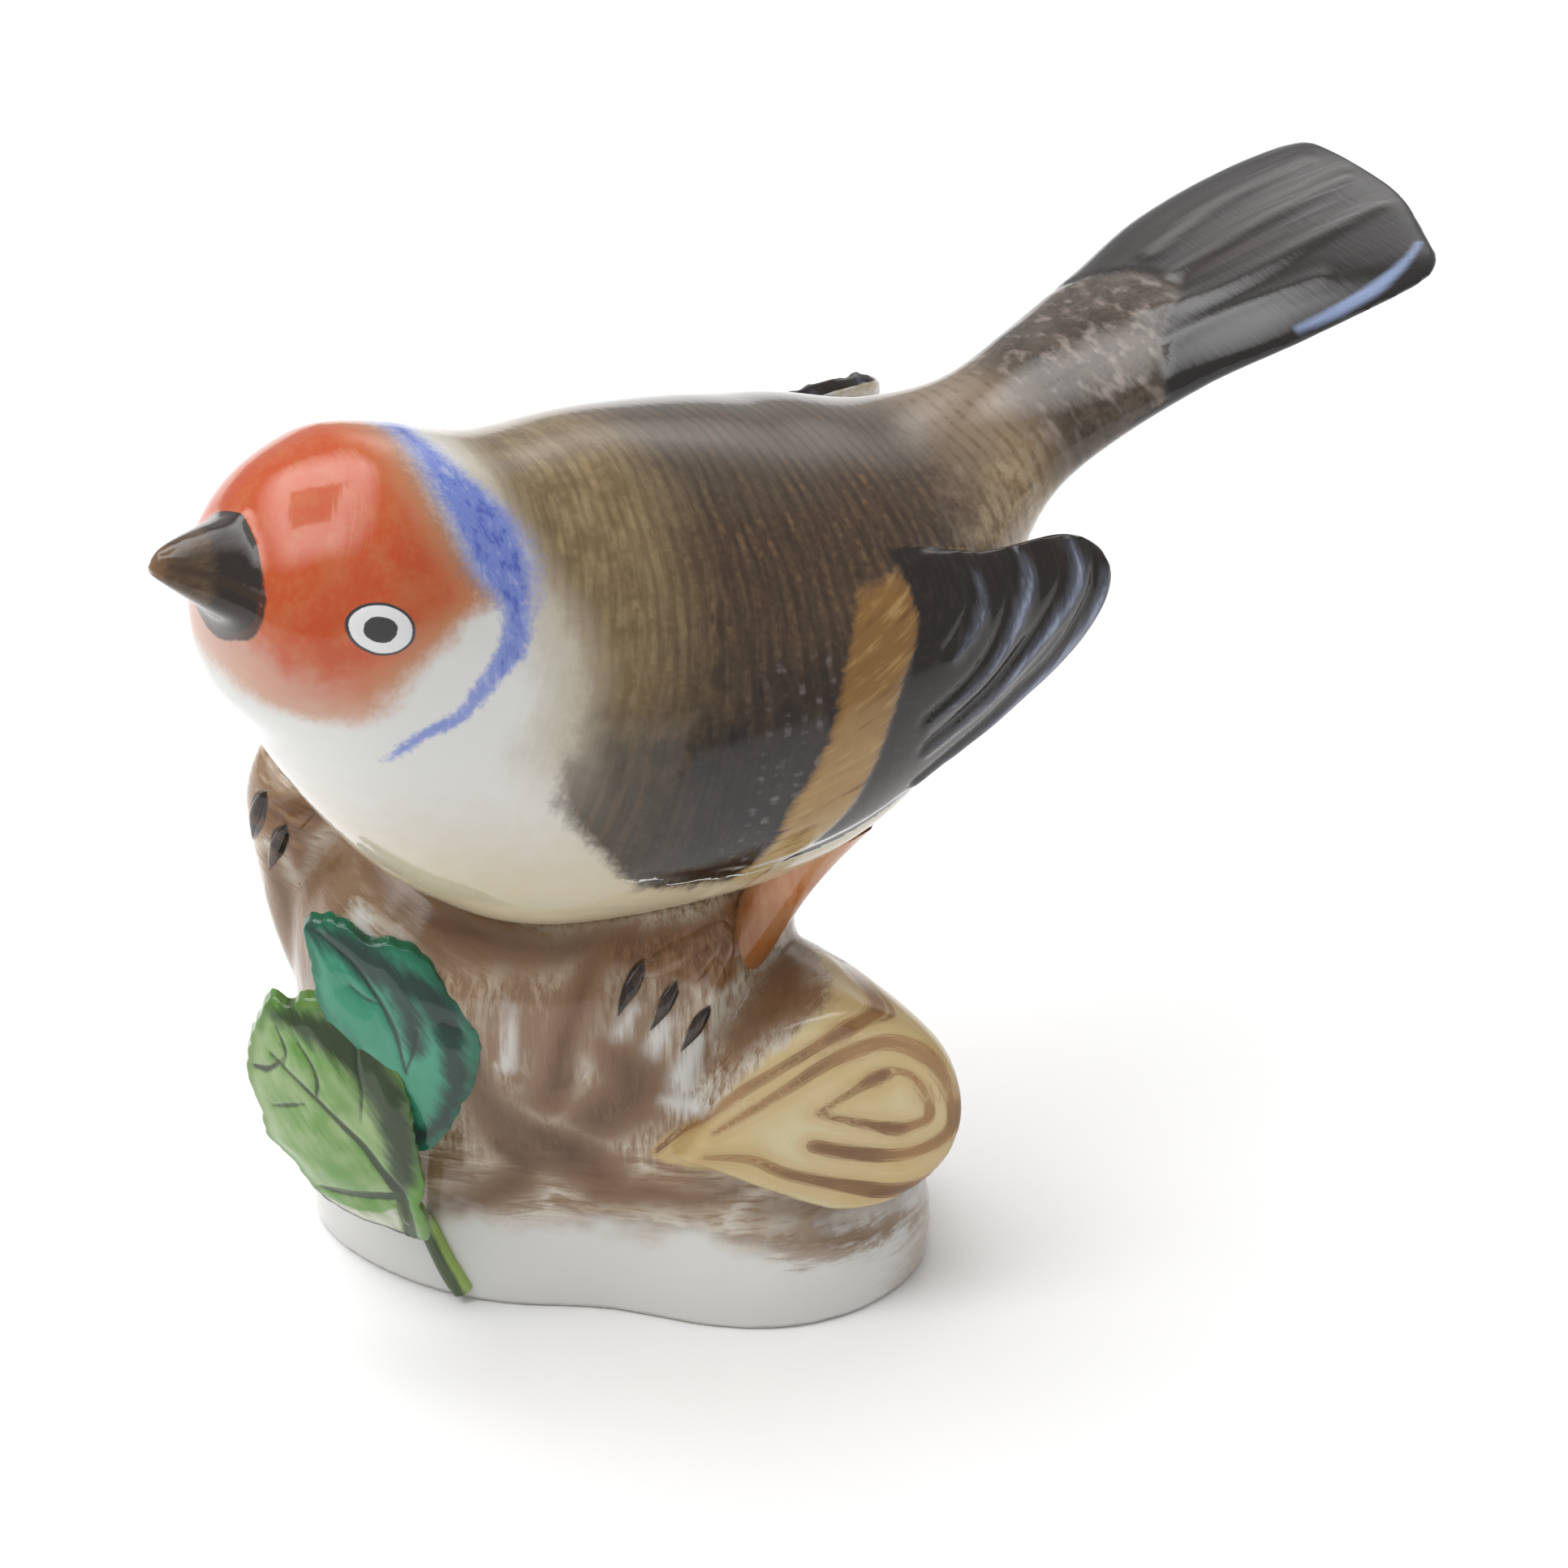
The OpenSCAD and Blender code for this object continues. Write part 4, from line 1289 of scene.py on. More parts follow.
    def form(self, at: Array) -> Array:
        """Lifts the beak's point, slims its lower half and squares the tail's far corner.

        Args:
            at: Points in millimetres.

        Returns:
            The moved points.
        """
        past = self.face.past(at)
        rel = at - np.array(self.face.centre) / MM
        height = rel @ self.up
        slim = np.minimum(height, 0.0) * -0.5 * ease(past, -2.5, 1.0)
        lift = 1.0 * ease(past, 0.0, 9.5)
        along, across = self.tail_chart(at)
        turn = math.radians(self.tail_rise)
        corner = 1.5 * ease(across, -8.0, 0.5) * ease(along, 18.0, 30.0)
        wide = 0.6 * np.sign(across) * ease(along, 8.0, 16.0) * ease(np.abs(across), 4.0, 9.0)
        at = at + np.column_stack([corner * math.cos(turn), wide, corner * math.sin(turn)])
        room = (self.tail_end - at[:, 0]) / self.tail_round
        at[:, 0] = self.tail_end - self.tail_round * np.logaddexp(0.0, room)
        return at + self.up * (slim + lift)[:, None]

    def relief(self, at: Array, out: Array) -> Array:
        """Works out the bird's relief.

        Args:
            at: Points in millimetres.
            out: Their normals.

        Returns:
            Height at each point.
        """
        side = at[:, [0, 2]]
        on_beak = self.face.past(at) > -0.3
        gape = np.where(on_beak, -0.22 * ease(self.gape_line(at), -0.5, 0.1), 0.0)
        culmen = np.where(on_beak & (out[:, 2] > 0), 0.18 * bell(at[:, 1], 0.9), 0.0)
        lid = 0.16 * ease(self.eye_chart(at, self.eye_half), 1.15, 0.75)
        outer = ease(np.abs(at[:, 1]), 11.5, 13.0) * ease(np.sign(at[:, 1]) * out[:, 1], 0.0, 0.3)
        behind = ease(at[:, 0] - through(self.band_back, at[:, 2]), -0.5, 1.5) * outer
        vanes = strokes(side, self.feathers)
        grooves = strokes(side - np.array([-0.55, 0.75]), self.feathers)
        wing = behind * (0.26 * ease(vanes, -0.8, 0.2) - 0.26 * ease(grooves, -0.5, 0.2))
        step = 0.16 * ease(self.band_field(at), -0.3, 0.5) * outer
        along, across = self.tail_chart(at)
        top = ease(along, 2.0, 8.0) * ease(out[:, 2], 0.2, 0.6)
        tail = top * (0.12 * ease(self.quill_lines(at), -1.2, 0.3)
                      - 0.1 * bell(along - self.covert_end(across), 0.6))
        return gape + culmen + lid + wing + step + tail

    def band_field(self, at: Array) -> Array:
        """Measures how far inside the ochre bar each point lies.

        Args:
            at: Points in millimetres.

        Returns:
            The measure, in millimetres.
        """
        x, z = at[:, 0], at[:, 2]
        inner = np.minimum(x - through(self.band_front, z), through(self.band_back, z) - x)
        return np.where(np.abs(at[:, 1]) > 9.0, np.minimum(inner, 60.9 - z), FAR_OFF)

    def covert_end(self, across: Array) -> Array:
        """Reads where the tail's coverts end, along the tail."""
        return through(self.coverts, across)

    def paint(self, piece: Piece, wing: bool) -> None:
        """Stores the enamel's charts on a piece.

        Args:
            piece: The piece.
            wing: Whether it is a wing, with a lining and a pale rim.
        """
        at, out = Bench.points(piece), Bench.normals(piece)
        station, roll = self.spine_chart(at)
        self._paint_head(piece, at)
        self._paint_back(piece, at, wing)
        self._paint_wing(piece, at, out, wing)
        self._paint_tail(piece, at, out)
        Bench.chart(
            piece, station=station, turn=roll, spread=ease(roll, 112, 84),
            fleck=ease(station, 9, 14) * ease(station, 32, 26) * ease(roll, 55, 78) * ease(roll, 134, 116),
            moss=brush(np.column_stack([station, roll]), self.moss) * 0.3)

    def _paint_head(self, piece: Piece, at: Array) -> None:
        """Stores the charts of the red mask, the blue nape, the beak's dark foot and the eyes.

        Args:
            piece: The piece.
            at: Its points.
        """
        apart, turn = self.head_chart(at)
        to_mm = math.radians(self.ball_r)
        on_head = self.neck.past(at) < 8.0
        mask = np.where(on_head, (through(self.mask_edge, turn) - apart) * to_mm, FAR_OFF)
        nape = np.minimum(through(self.nape_outer, turn) - apart,
                          apart - through(self.nape_inner, turn)) * to_mm
        bill = np.full(len(at), FAR_OFF)
        if piece.name.startswith("head"):
            bill = (through(self.bill_edge, turn) - apart) * to_mm
        Bench.chart(
            piece, mask=mask, nape=np.where(on_head & (turn < 131), nape, FAR_OFF), bill=bill,
            chin=ease(turn, 85, 135), temple=ease(turn, 78, 66),
            eye=self.eye_chart(at, self.eye_half), pupil=self.eye_chart(at, self.pupil_half))

    def _paint_back(self, piece: Piece, at: Array, wing: bool) -> None:
        """Stores how far inside the brown of the back each point lies.

        Args:
            piece: The piece.
            at: Its points.
            wing: Whether it is a wing.
        """
        station, roll = self.spine_chart(at)
        front = (station - through(self.mantle_front, roll)) * 0.9
        low = (129.5 - roll) * 0.3 + ease(station, 14.0, 24.0) * 14.0
        mantle = np.where(station > 30, np.maximum(front, low), np.minimum(front, low))
        if not wing:
            mantle = np.where(station > 16, np.minimum(mantle, (118.0 - roll) * 0.3), mantle)
        Bench.chart(piece, mantle=np.where(self.root.past(at) > 0, 9.0, mantle))

    def _paint_wing(self, piece: Piece, at: Array, out: Array, wing: bool) -> None:
        """Stores the charts of the flight feathers, the ochre bar, the wing's rim and its lining.

        Args:
            piece: The piece.
            at: Its points.
            out: Their normals.
            wing: Whether it is a wing.
        """
        side = at[:, [0, 2]]
        from_hub = side - np.array(self.feather_hub)
        lining, rim, flight = np.zeros(len(at)), np.zeros(len(at)), np.full(len(at), FAR_OFF)
        if wing:
            inward = -np.sign(at[:, 1]) * out[:, 1]
            lining = ease(inward, 0.05, 0.45) * ease(out[:, 2], 0.75, 0.45) * ease(at[:, 0], 15.0, 21.0)
            rim = ease(-out[:, 2], 0.55, 0.8) * ease(24.0 - at[:, 0], -4, 4)
            flight = np.minimum(at[:, 0] - through(self.band_back, at[:, 2]) + 0.3, 62.0 - at[:, 2])
            flight = np.where(np.abs(at[:, 1]) > 12.5, flight, FAR_OFF)
        Bench.chart(
            piece, band=self.band_field(at), flight=flight, strokes=strokes(side, self.feathers),
            barb=np.hypot(*from_hub.T), vane=np.degrees(np.arctan2(*from_hub.T)), edge=rim, lining=lining)

    def _paint_tail(self, piece: Piece, at: Array, out: Array) -> None:
        """Stores the charts of the tail's coverts, blade, quills and blue edge.

        Args:
            piece: The piece.
            at: Its points.
            out: Their normals.
        """
        along, across = self.tail_chart(at)
        blue = brush(np.column_stack([along, across]), self.tail_blue)
        Bench.chart(
            piece, along=along, across=across, tip=self.tail_l - along,
            blade=np.where(out[:, 2] > -0.2, along - self.covert_end(across), along - 2.0),
            quills=np.where(out[:, 2] > 0, self.quill_lines(at), OFF),
            sheen=blue - 1.5 * ease(-out[:, 2], -0.2, 0.4))

    def build(self) -> None:
        """Casts the bird, gives it its relief and cuts it apart at its joints."""
        names = ("head", "beak", "body", "tail", "left_wing", "right_wing")
        whole = Bench.cast(names, "bird_skin")
        Bench.fuse(whole, self.voxel, 5)
        Bench.soften(whole, 10, lambda at: 1.0 - 0.85 * ease(self.tail_chart(at)[0], 2.0, 12.0)
                     - 0.15 * ease(np.abs(at[:, 1]), 13.5, 16.0) * ease(at[:, 0], 18.0, 24.0))
        Bench.move(whole, self.form(Bench.points(whole)))
        Bench.emboss(whole, self.relief)
        Bench.apply(whole, "SMOOTH", factor=0.4, iterations=1)
        Bench.finish(whole)
        rest = Bench.copy(whole, "bird_rest")
        for name in ("left_wing", "right_wing"):
            cutter = Bench.cast((name,), "wing_cutter")
            Bench.fuse(cutter, *self.wing_core)
            Bench.swell(cutter, self.wing_room)
            Bench.fuse(cutter, *self.wing_shell)
            self.made[name] = Bench.split(rest, cutter, name)
        for name, seam in (("beak", self.face), ("tail", self.root), ("body", self.neck)):
            self.made[name] = Bench.split(rest, seam.cutter(), name)
        rest.name = "head"
        self.made["head"] = rest
        enamel, horn = Enamels.bird(), Enamels.beak()
        for name, piece in self.made.items():
            Bench.finish(piece, whole)
            if name == "beak":
                at = Bench.points(piece)
                Bench.chart(piece, face=self.face.past(at), gape=self.gape_line(at))
            else:
                self.paint(piece, "wing" in name)
            keep(piece, horn if name == "beak" else enamel, name, "wing" if "wing" in name else name)
        Bench.drop(whole)


def keep(piece: Piece, enamel: bpy.types.Material, node: str, slot: str) -> None:
    """Gives a piece its one finish, lets it stand for its frame node and reports it.

    Args:
        piece: The piece.
        enamel: Its finish.
        node: The node that it replaces.
        slot: The record's slot for its finish; not used.
    """
    piece.data.materials.clear()
    piece.data.materials.append(enamel)
    piece.name = f"{node}_porcelain"
    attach(piece, "root")
    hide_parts(node)
    LOG.info("%s: %d faces", piece.name, len(piece.data.polygons))


# ---------------------------------------------------------------- the stump

@dataclass
class Stump:
    """The stump with its sawn side log and its perch branch."""

    voxel: float = 0.4
    cutter_voxel: float = 0.5
    cutter_room: float = 0.5
    log_centre: tuple[float, float] = (18.2, 20.8)
    made: dict[str, Piece] = field(default_factory=dict)
    skin: BVHTree | None = None
    sawn_outline: Points = ((0.4, 15.0), (4.6, 19.4), (7.8, 23.4), (10.3, 25.8), (12.3, 27.8), (15.5, 29.2),
                            (19.5, 28.4), (22.3, 25.2), (23.6, 21.0), (23.3, 16.2), (20.6, 12.0),
                            (16.5, 10.6), (12.8, 11.4), (8.7, 13.0), (4.5, 13.4))
    rings: tuple[Points, ...] = (
        ((12.6, 19.9, 0.05), (15.0, 21.7, 0.25), (16.9, 23.0, 0.6), (18.2, 23.6, 0.3), (19.6, 23.0, 0.25),
         (20.6, 21.2, 0.3), (20.7, 19.5, 0.3), (19.6, 18.8, 0.4), (18.3, 18.5, 0.6), (16.4, 18.9, 0.4),
         (13.0, 19.7, 0.05)),
        ((5.0, 18.0, 0.05), (9.6, 21.4, 0.3), (13.2, 24.2, 0.55), (16.2, 25.8, 0.65), (18.2, 26.0, 0.6),
         (20.5, 24.7, 0.6), (21.9, 22.5, 0.4), (22.5, 19.1, 0.35), (21.5, 17.3, 0.5), (18.7, 16.2, 0.55),
         (15.1, 16.4, 0.65), (12.4, 17.0, 0.5)),
        ((0.7, 15.1, 0.1), (5.9, 20.6, 0.3), (12.4, 25.6, 0.45), (14.6, 27.2, 0.6), (17.3, 28.0, 0.35),
         (20.1, 27.2, 0.2), (21.9, 25.2, 0.3), (23.0, 22.0, 0.3), (23.2, 18.0, 0.4), (22.2, 14.6, 0.6),
         (19.2, 12.9, 0.8), (15.1, 13.4, 0.65), (10.5, 14.5, 0.45), (7.8, 15.8, 0.35), (4.3, 16.0, 0.1)),
    )
    ring_dark: tuple[Points, ...] = (((16.0, 22.6, 0.2), (17.4, 23.3, 0.5)),
                                     ((16.8, 18.8, 0.2), (18.6, 18.5, 0.45)),
                                     ((13.4, 26.3, 0.3), (14.8, 27.2, 0.45)),
                                     ((16.8, 12.8, 0.3), (20.0, 12.9, 0.6)),
                                     ((12.8, 16.9, 0.35), (15.0, 16.4, 0.25)))
    washes: tuple[Points, ...] = (
        ((-21.5, 36.4, 0.3), (-19.3, 35.6, 0.7), (-16.2, 34.6, 1.2), (-13.6, 33.9, 1.7), (-10.0, 33.3, 1.3),
         (-5.6, 33.0, 0.9), (-1.0, 33.2, 0.8)),
        ((-17.5, 35.5, 0.4), (-16.1, 33.9, 0.9), (-14.3, 32.0, 0.4)),
        ((-3.2, 32.6, 0.8), (-4.9, 29.1, 1.1), (-5.7, 26.5, 1.2), (-6.2, 23.8, 1.2), (-6.9, 20.5, 1.6)),
        ((-3.0, 25.6, 0.6), (-1.3, 23.5, 2.0), (-0.9, 21.0, 2.6), (-3.2, 18.6, 2.4)),
        ((-12.4, 21.8, 0.8), (-10.6, 18.4, 1.8), (-8.4, 15.6, 2.6), (-5.4, 14.4, 2.6), (-3.0, 12.2, 1.8)),
        ((-15.2, 7.9, 0.7), (-12.7, 9.2, 1.0), (-9.8, 11.4, 1.6)),
        ((-3.6, 11.0, 0.9), (0.2, 11.3, 0.9), (3.4, 10.9, 0.6), (6.6, 11.4, 0.3)),
        ((-13.2, 26.0, 0.2), (-12.2, 23.6, 0.5), (-11.0, 20.0, 0.8)),
        ((-24.8, 31.4, 0.3), (-23.6, 33.6, 0.7), (-21.4, 35.8, 0.5)),
        ((-27.6, 33.6, 0.3), (-26.6, 31.0, 0.8), (-26.2, 28.4, 0.7), (-26.0, 26.0, 0.3)),
        ((6.2, 24.4, 0.2), (8.2, 26.4, 0.6), (10.4, 28.0, 0.5), (12.0, 28.9, 0.2)),
    )
    darks: tuple[Points, ...] = (
        ((-15.6, 34.3, 0.2), (-13.4, 33.8, 0.7), (-11.6, 33.5, 0.2)), ((-11.0, 15.6, 0.4), (-8.8, 13.0, 0.9)),
        ((-8.0, 17.0, 0.4), (-5.4, 14.6, 0.8)), ((-4.2, 30.4, 0.3), (-5.8, 26.0, 0.4), (-6.4, 22.0, 0.6)),
    )
    rusts: tuple[Points, ...] = (
        ((-1.9, 32.4, 0.9), (1.6, 32.0, 1.5), (4.6, 31.4, 2.0), (7.6, 31.8, 1.9), (9.4, 32.6, 1.0)),
        ((4.6, 30.6, 0.8), (5.9, 29.3, 0.9)), ((8.6, 31.4, 0.8), (9.4, 29.6, 0.5)),
        ((-28.4, 37.4, 1.0), (-27.0, 37.6, 1.5), (-25.4, 38.0, 1.6), (-23.6, 38.6, 1.0)),
        ((-26.0, 37.6, 0.9), (-25.4, 35.4, 0.8), (-25.2, 33.9, 0.3)),
    )
    mauves: tuple[Points, ...] = (
        ((8.0, 9.6, 0.3), (12.8, 9.6, 0.5), (17.5, 8.8, 0.5), (21.5, 7.6, 0.4)),
        ((9.4, 7.4, 0.6), (12.8, 6.8, 1.0), (16.3, 6.1, 0.9), (19.9, 5.0, 0.6)),
        ((-21.0, 30.5, 0.5), (-18.0, 28.0, 0.9), (-14.5, 27.0, 1.4), (-10.0, 29.0, 1.0)),
        ((-9.0, 31.0, 0.6), (-8.0, 26.0, 1.0), (-9.0, 21.0, 1.0)), ((-1.0, 30.0, 0.5), (-3.0, 27.0, 0.8)),
        ((-22.5, 29.0, 0.6), (-23.5, 26.0, 0.8)),
    )
    whites: tuple[Points, ...] = (
        ((-0.8, 28.2, 0.6), (-1.8, 26.4, 0.7)), ((1.6, 26.8, 0.8), (0.4, 24.2, 0.9)),
                                  ((4.0, 24.6, 0.8), (2.6, 21.4, 1.3)),
        ((-9.4, 29.0, 0.5), (-9.8, 24.0, 0.8)), ((1.4, 20.0, 0.8), (4.6, 18.6, 1.0)),
                                  ((-20.5, 33.2, 0.5), (-20.0, 30.6, 0.7)),
    )
    claws: tuple[Points, ...] = (
        ((0.0, 31.6, 0.12), (-0.4, 30.8, 0.55), (-0.9, 29.9, 0.55), (-1.4, 29.0, 0.32), (-1.8, 28.0, 0.04)),
        ((2.4, 29.9, 0.12), (2.0, 29.1, 0.55), (1.6, 28.3, 0.55), (1.1, 27.4, 0.32), (0.5, 26.4, 0.04)),
        ((4.7, 27.5, 0.12), (4.3, 26.7, 0.55), (3.8, 25.9, 0.55), (3.3, 25.1, 0.32), (2.7, 24.1, 0.04)),
        ((-26.1, 37.3, 0.12), (-26.5, 36.3, 0.6), (-26.8, 35.2, 0.6), (-27.2, 34.0, 0.3),
         (-27.6, 32.8, 0.04)),
        ((-27.6, 39.3, 0.12), (-28.0, 38.3, 0.55), (-28.3, 37.0, 0.55), (-28.6, 35.6, 0.3),
         (-28.8, 34.4, 0.04)),
    )

    @staticmethod
    def own_axes(at: Array) -> tuple[Array, Array]:
        """Turns points to the stump's own long and short axes, in millimetres.

        Args:
            at: Points in millimetres.

        Returns:
            How far along the stump, and how far across.
        """
        turn = math.radians(STUMP_TURN)
        return (at[:, 0] * math.cos(turn) - at[:, 1] * math.sin(turn),
                at[:, 0] * math.sin(turn) + at[:, 1] * math.cos(turn))

    @staticmethod
    def row_axes(s: Array | float, t: Array | float) -> tuple[Array | float, ...]:
        """Turns places on the stump's own axes to X and Y of the frame, in millimetres."""
        turn = math.radians(STUMP_TURN)
        return s * math.cos(turn) + t * math.sin(turn), t * math.cos(turn) - s * math.sin(turn)

    @staticmethod
    def at(s: float, t: float, z: float) -> Vector:
        """Turns a place on the stump's own axes to a point of the frame, in millimetres."""
        return Vector((*Stump.row_axes(s, t), z))

    def front(self, s: float, z: float) -> tuple[Vector, Vector]:
        """Finds the wood's front skin at a place of its side view.

        Args:
            s: Place along the stump.
            z: Height.

        Returns:
            The point, in millimetres, and its outward normal.
        """
        start, way = self.at(s, -60.0, z), self.at(0.0, 1.0, 0.0)
        hit, normal, _, _ = self.skin.ray_cast(start * MM, way)
        if hit is None:
            hit, normal, _, _ = self.skin.find_nearest(self.at(s, -10.0, z) * MM)
        return hit / MM, normal

    def relief(self, at: Array, out: Array) -> Array:
        """Works out the folds of the bark and the sunk rings of the sawn face.

        Args:
            at: Points in millimetres.
            out: Their normals.

        Returns:
            Height at each point.
        """
        s, t = self.own_axes(at)
        upright = ease(at[:, 2], 3.0, 9.0) * ease(1 - np.abs(out[:, 2]), 0.1, 0.6)
        frame_points = np.column_stack([s, t, at[:, 2]])
        folds = grain(frame_points, (0.16, 0.16, 0.035), 3.7)
        folds = folds + 0.4 * grain(frame_points, (0.4, 0.4, 0.08), 9.1)
        on_face = ease(self.sawn(s, t, at[:, 2]), -1.0, 0.6)
        sunk = ease(self.ring_field(s, at[:, 2]), -0.4, 0.3)
        return 0.6 * folds * upright * (1 - on_face) - 0.1 * on_face * sunk

    def sawn(self, s: Array, t: Array, z: Array) -> Array:
        """Measures how far inside the sawn face each point lies."""
        return np.where(t < -3.5, inside(np.column_stack([s, z]), self.sawn_outline), FAR_OFF)

    def ring_field(self, s: Array, z: Array) -> Array:
        """Measures how far inside a drawn growth ring each point lies."""
        return strokes(np.column_stack([s, z]), self.rings)

    def paint(self, piece: Piece) -> None:
        """Stores the enamel's charts on a piece of wood or on a foot.

        Args:
            piece: The piece.
        """
        at, out = Bench.points(piece), Bench.normals(piece)
        s, t = self.own_axes(at)
        z = at[:, 2]
        chart = np.column_stack([s, z])
        back = ease(t, 0.0, 6.0) * 30.0
        mirrored = np.column_stack([-s * 0.8 - 6.0, z])
        behind = strokes(mirrored, self.washes) * 0.9 - 0.2
        centre_s, centre_z = self.log_centre
        Bench.chart(
            piece, s=s, t=t, level=ease(z, 17.0, 12.0), slant=ease(z, 30.0, 32.5) * ease(s, -4.0, -10.0),
            wash=np.maximum(strokes(chart, self.washes) - back, np.where(t > 3.0, behind, FAR_OFF)),
            dark=strokes(chart, self.darks) - back, rust=strokes(chart, self.rusts) - back * 0.2,
            mauve=strokes(chart, self.mauves) - back, bare=strokes(chart, self.whites) - back,
            corner=(s - 18.4) * 0.5 + (4.0 - z) * 0.12,
            claw=np.where(t < 6.0, strokes(chart, self.claws), OFF),
            sawn=self.sawn(s, t, z), rings=self.ring_field(s, z), ring_dark=strokes(chart, self.ring_dark),
            ring_turn=np.degrees(np.arctan2(z - centre_z, s - centre_s)),
            apex=ease(s, 12.0, 0.0), under=ease(-out[:, 2], 0.6, 0.85) * ease(z, 0.6, 0.2))

    def build(self) -> None:
        """Casts the stump, folds its bark and cuts the log and the branch off it."""
        whole = Bench.cast(("stump", "side_log", "perch_branch"), "stump_skin")
        Bench.fuse(whole, self.voxel, 12)
        Bench.emboss(whole, self.relief)
        Bench.finish(whole)
        self.skin = BVHTree.FromObject(whole, bpy.context.evaluated_depsgraph_get())
        rest = Bench.copy(whole, "stump")
        for name in ("side_log", "perch_branch"):
            cutter = Bench.cast((name,), "cutter")
            Bench.fuse(cutter, self.cutter_voxel, 2)
            Bench.swell(cutter, self.cutter_room)
            self.made[name] = Bench.split(rest, cutter, name)
        self.made["stump"] = rest
        enamel = Enamels.wood("stump_enamel")
        for name, piece in self.made.items():
            Bench.finish(piece, whole)
            self.paint(piece)
            keep(piece, enamel, name, name)
        Bench.drop(whole)


# ---------------------------------------------------------------- legs, feet and leaves

@dataclass
class Limbs:
    """The legs and the clawed feet, pressed onto the wood."""

    stump: Stump
    voxel: float = 0.2
    slim: float = 0.78
    tuck: tuple[float, float] = (-1.6, 2.6)
    claw_half: tuple[float, float] = (0.66, 0.5)
    claw_point: float = 0.62
    toe_half: tuple[float, float] = (1.35, 0.95)
    toe_point: float = -0.1
    toe_reach: float = 0.3
    toe_sink: float = -0.35
    left_heel: tuple[float, float, float] = (7.4, -7.6, 33.4)
    right_heel: tuple[float, float, float] = (-22.6, 0.5, 40.4)
    far_toe: tuple[tuple[float, float, float], ...] = ((-24.6, 3.4, 40.0), (-26.6, 4.6, 38.6))

    def build(self) -> None:
        """Makes both legs and both feet."""
        leg_enamel, foot_enamel = Enamels.leg(), Enamels.wood("foot_enamel")
        for side, heel, lines in (("left", self.left_heel, self.stump.claws[:3]),
                                  ("right", self.right_heel, self.stump.claws[3:])):
            leg = Bench.cast((f"{side}_leg",), f"{side}_leg")
            self.waist(leg)
            Bench.fuse(leg, self.voxel, 8)
            Bench.finish(leg)
            keep(leg, leg_enamel, f"{side}_leg", "leg")
            ends = [(self.stump.front(*line[0][:2])[0], self.stump.front(*line[-1][:2])[0]) for line in lines]
            if side == "right":
                ends.append(tuple(self.stump.at(*place) for place in self.far_toe))
            parts = []
            for root, tip in ends:
                parts.append(self.spindle(root, tip, self.claw_half, self.claw_point, 0.0))
                start, knuckle = self.stump.at(*heel), root + (tip - root) * self.toe_reach
                parts.append(self.spindle(start, knuckle, self.toe_half, self.toe_point, self.toe_sink))
            Bench.pick(*parts)
            bpy.ops.object.join()
            foot = parts[0]
            foot.name = f"{side}_foot"
            Bench.fuse(foot, self.voxel, 5)
            self.stump.paint(foot)
            Bench.finish(foot)
            keep(foot, foot_enamel, f"{side}_foot", "foot")

    def waist(self, leg: Piece) -> None:
        """Slims a leg about its own middle line, most of all half way up.

        Args:
            leg: The leg, changed in place.
        """
        at = Bench.points(leg)
        z = at[:, 2]
        lean_x, lean_y = np.polyfit(z, at[:, 0], 1), np.polyfit(z, at[:, 1], 1)
        share = (z - z.min()) / np.ptp(z)
        girth = (self.slim + (1 - self.slim) * np.abs(2 * share - 1) ** 2)[:, None]
        line = np.column_stack([np.polyval(lean_x, z), np.polyval(lean_y, z), z])
        shift = np.array(self.stump.at(*self.tuck, 0.0)) if "left" in leg.name else 0.0
        Bench.move(leg, line + (1 - share)[:, None] * shift + (at - line) * girth)

    def spindle(self, start: Vector, end: Vector, half: tuple[float, float], point: float,
                sink: float) -> Piece:
        """Models a toe or a claw, a spindle laid on the wood.

        Args:
            start: Where it starts, in millimetres.
            end: Where it ends.
            half: Half width and half height.
            point: How much it narrows towards its end.
            sink: How far it is raised off the wood, negative to press it in.

        Returns:
            The spindle.
        """
        ends = []
        for place in (start, end):
            near, out, _, _ = self.stump.skin.find_nearest(place * MM)
            ends.append((near / MM + out * sink, out))
        (root, out), (tip, out_tip) = ends
        out = (out + out_tip).normalized()
        way = tip - root
        bpy.ops.object.select_all(action="DESELECT")
        bpy.ops.mesh.primitive_uv_sphere_add(segments=24, ring_count=24, radius=1.0)
        spindle = bpy.context.object
        side = way.cross(out).normalized()
        turn = Matrix((side, way.normalized().cross(side), way.normalized())).transposed()
        for vertex in spindle.data.vertices:
            x, y, z = vertex.co
            slim = 1.0 - point * max(0.0, z)
            place = (root + tip) / 2 + turn @ Vector((x * half[0] * slim, 0.0, z * way.length * 0.54))
            near, lean, _, _ = self.stump.skin.find_nearest(place * MM)
            flat = (near / MM).lerp(place, 0.35 if (near / MM - place).length < 1.5 else 1.0)
            vertex.co = (flat + turn @ Vector((0.0, y * half[1] * slim, 0.0)) + lean * sink) * MM
        return spindle


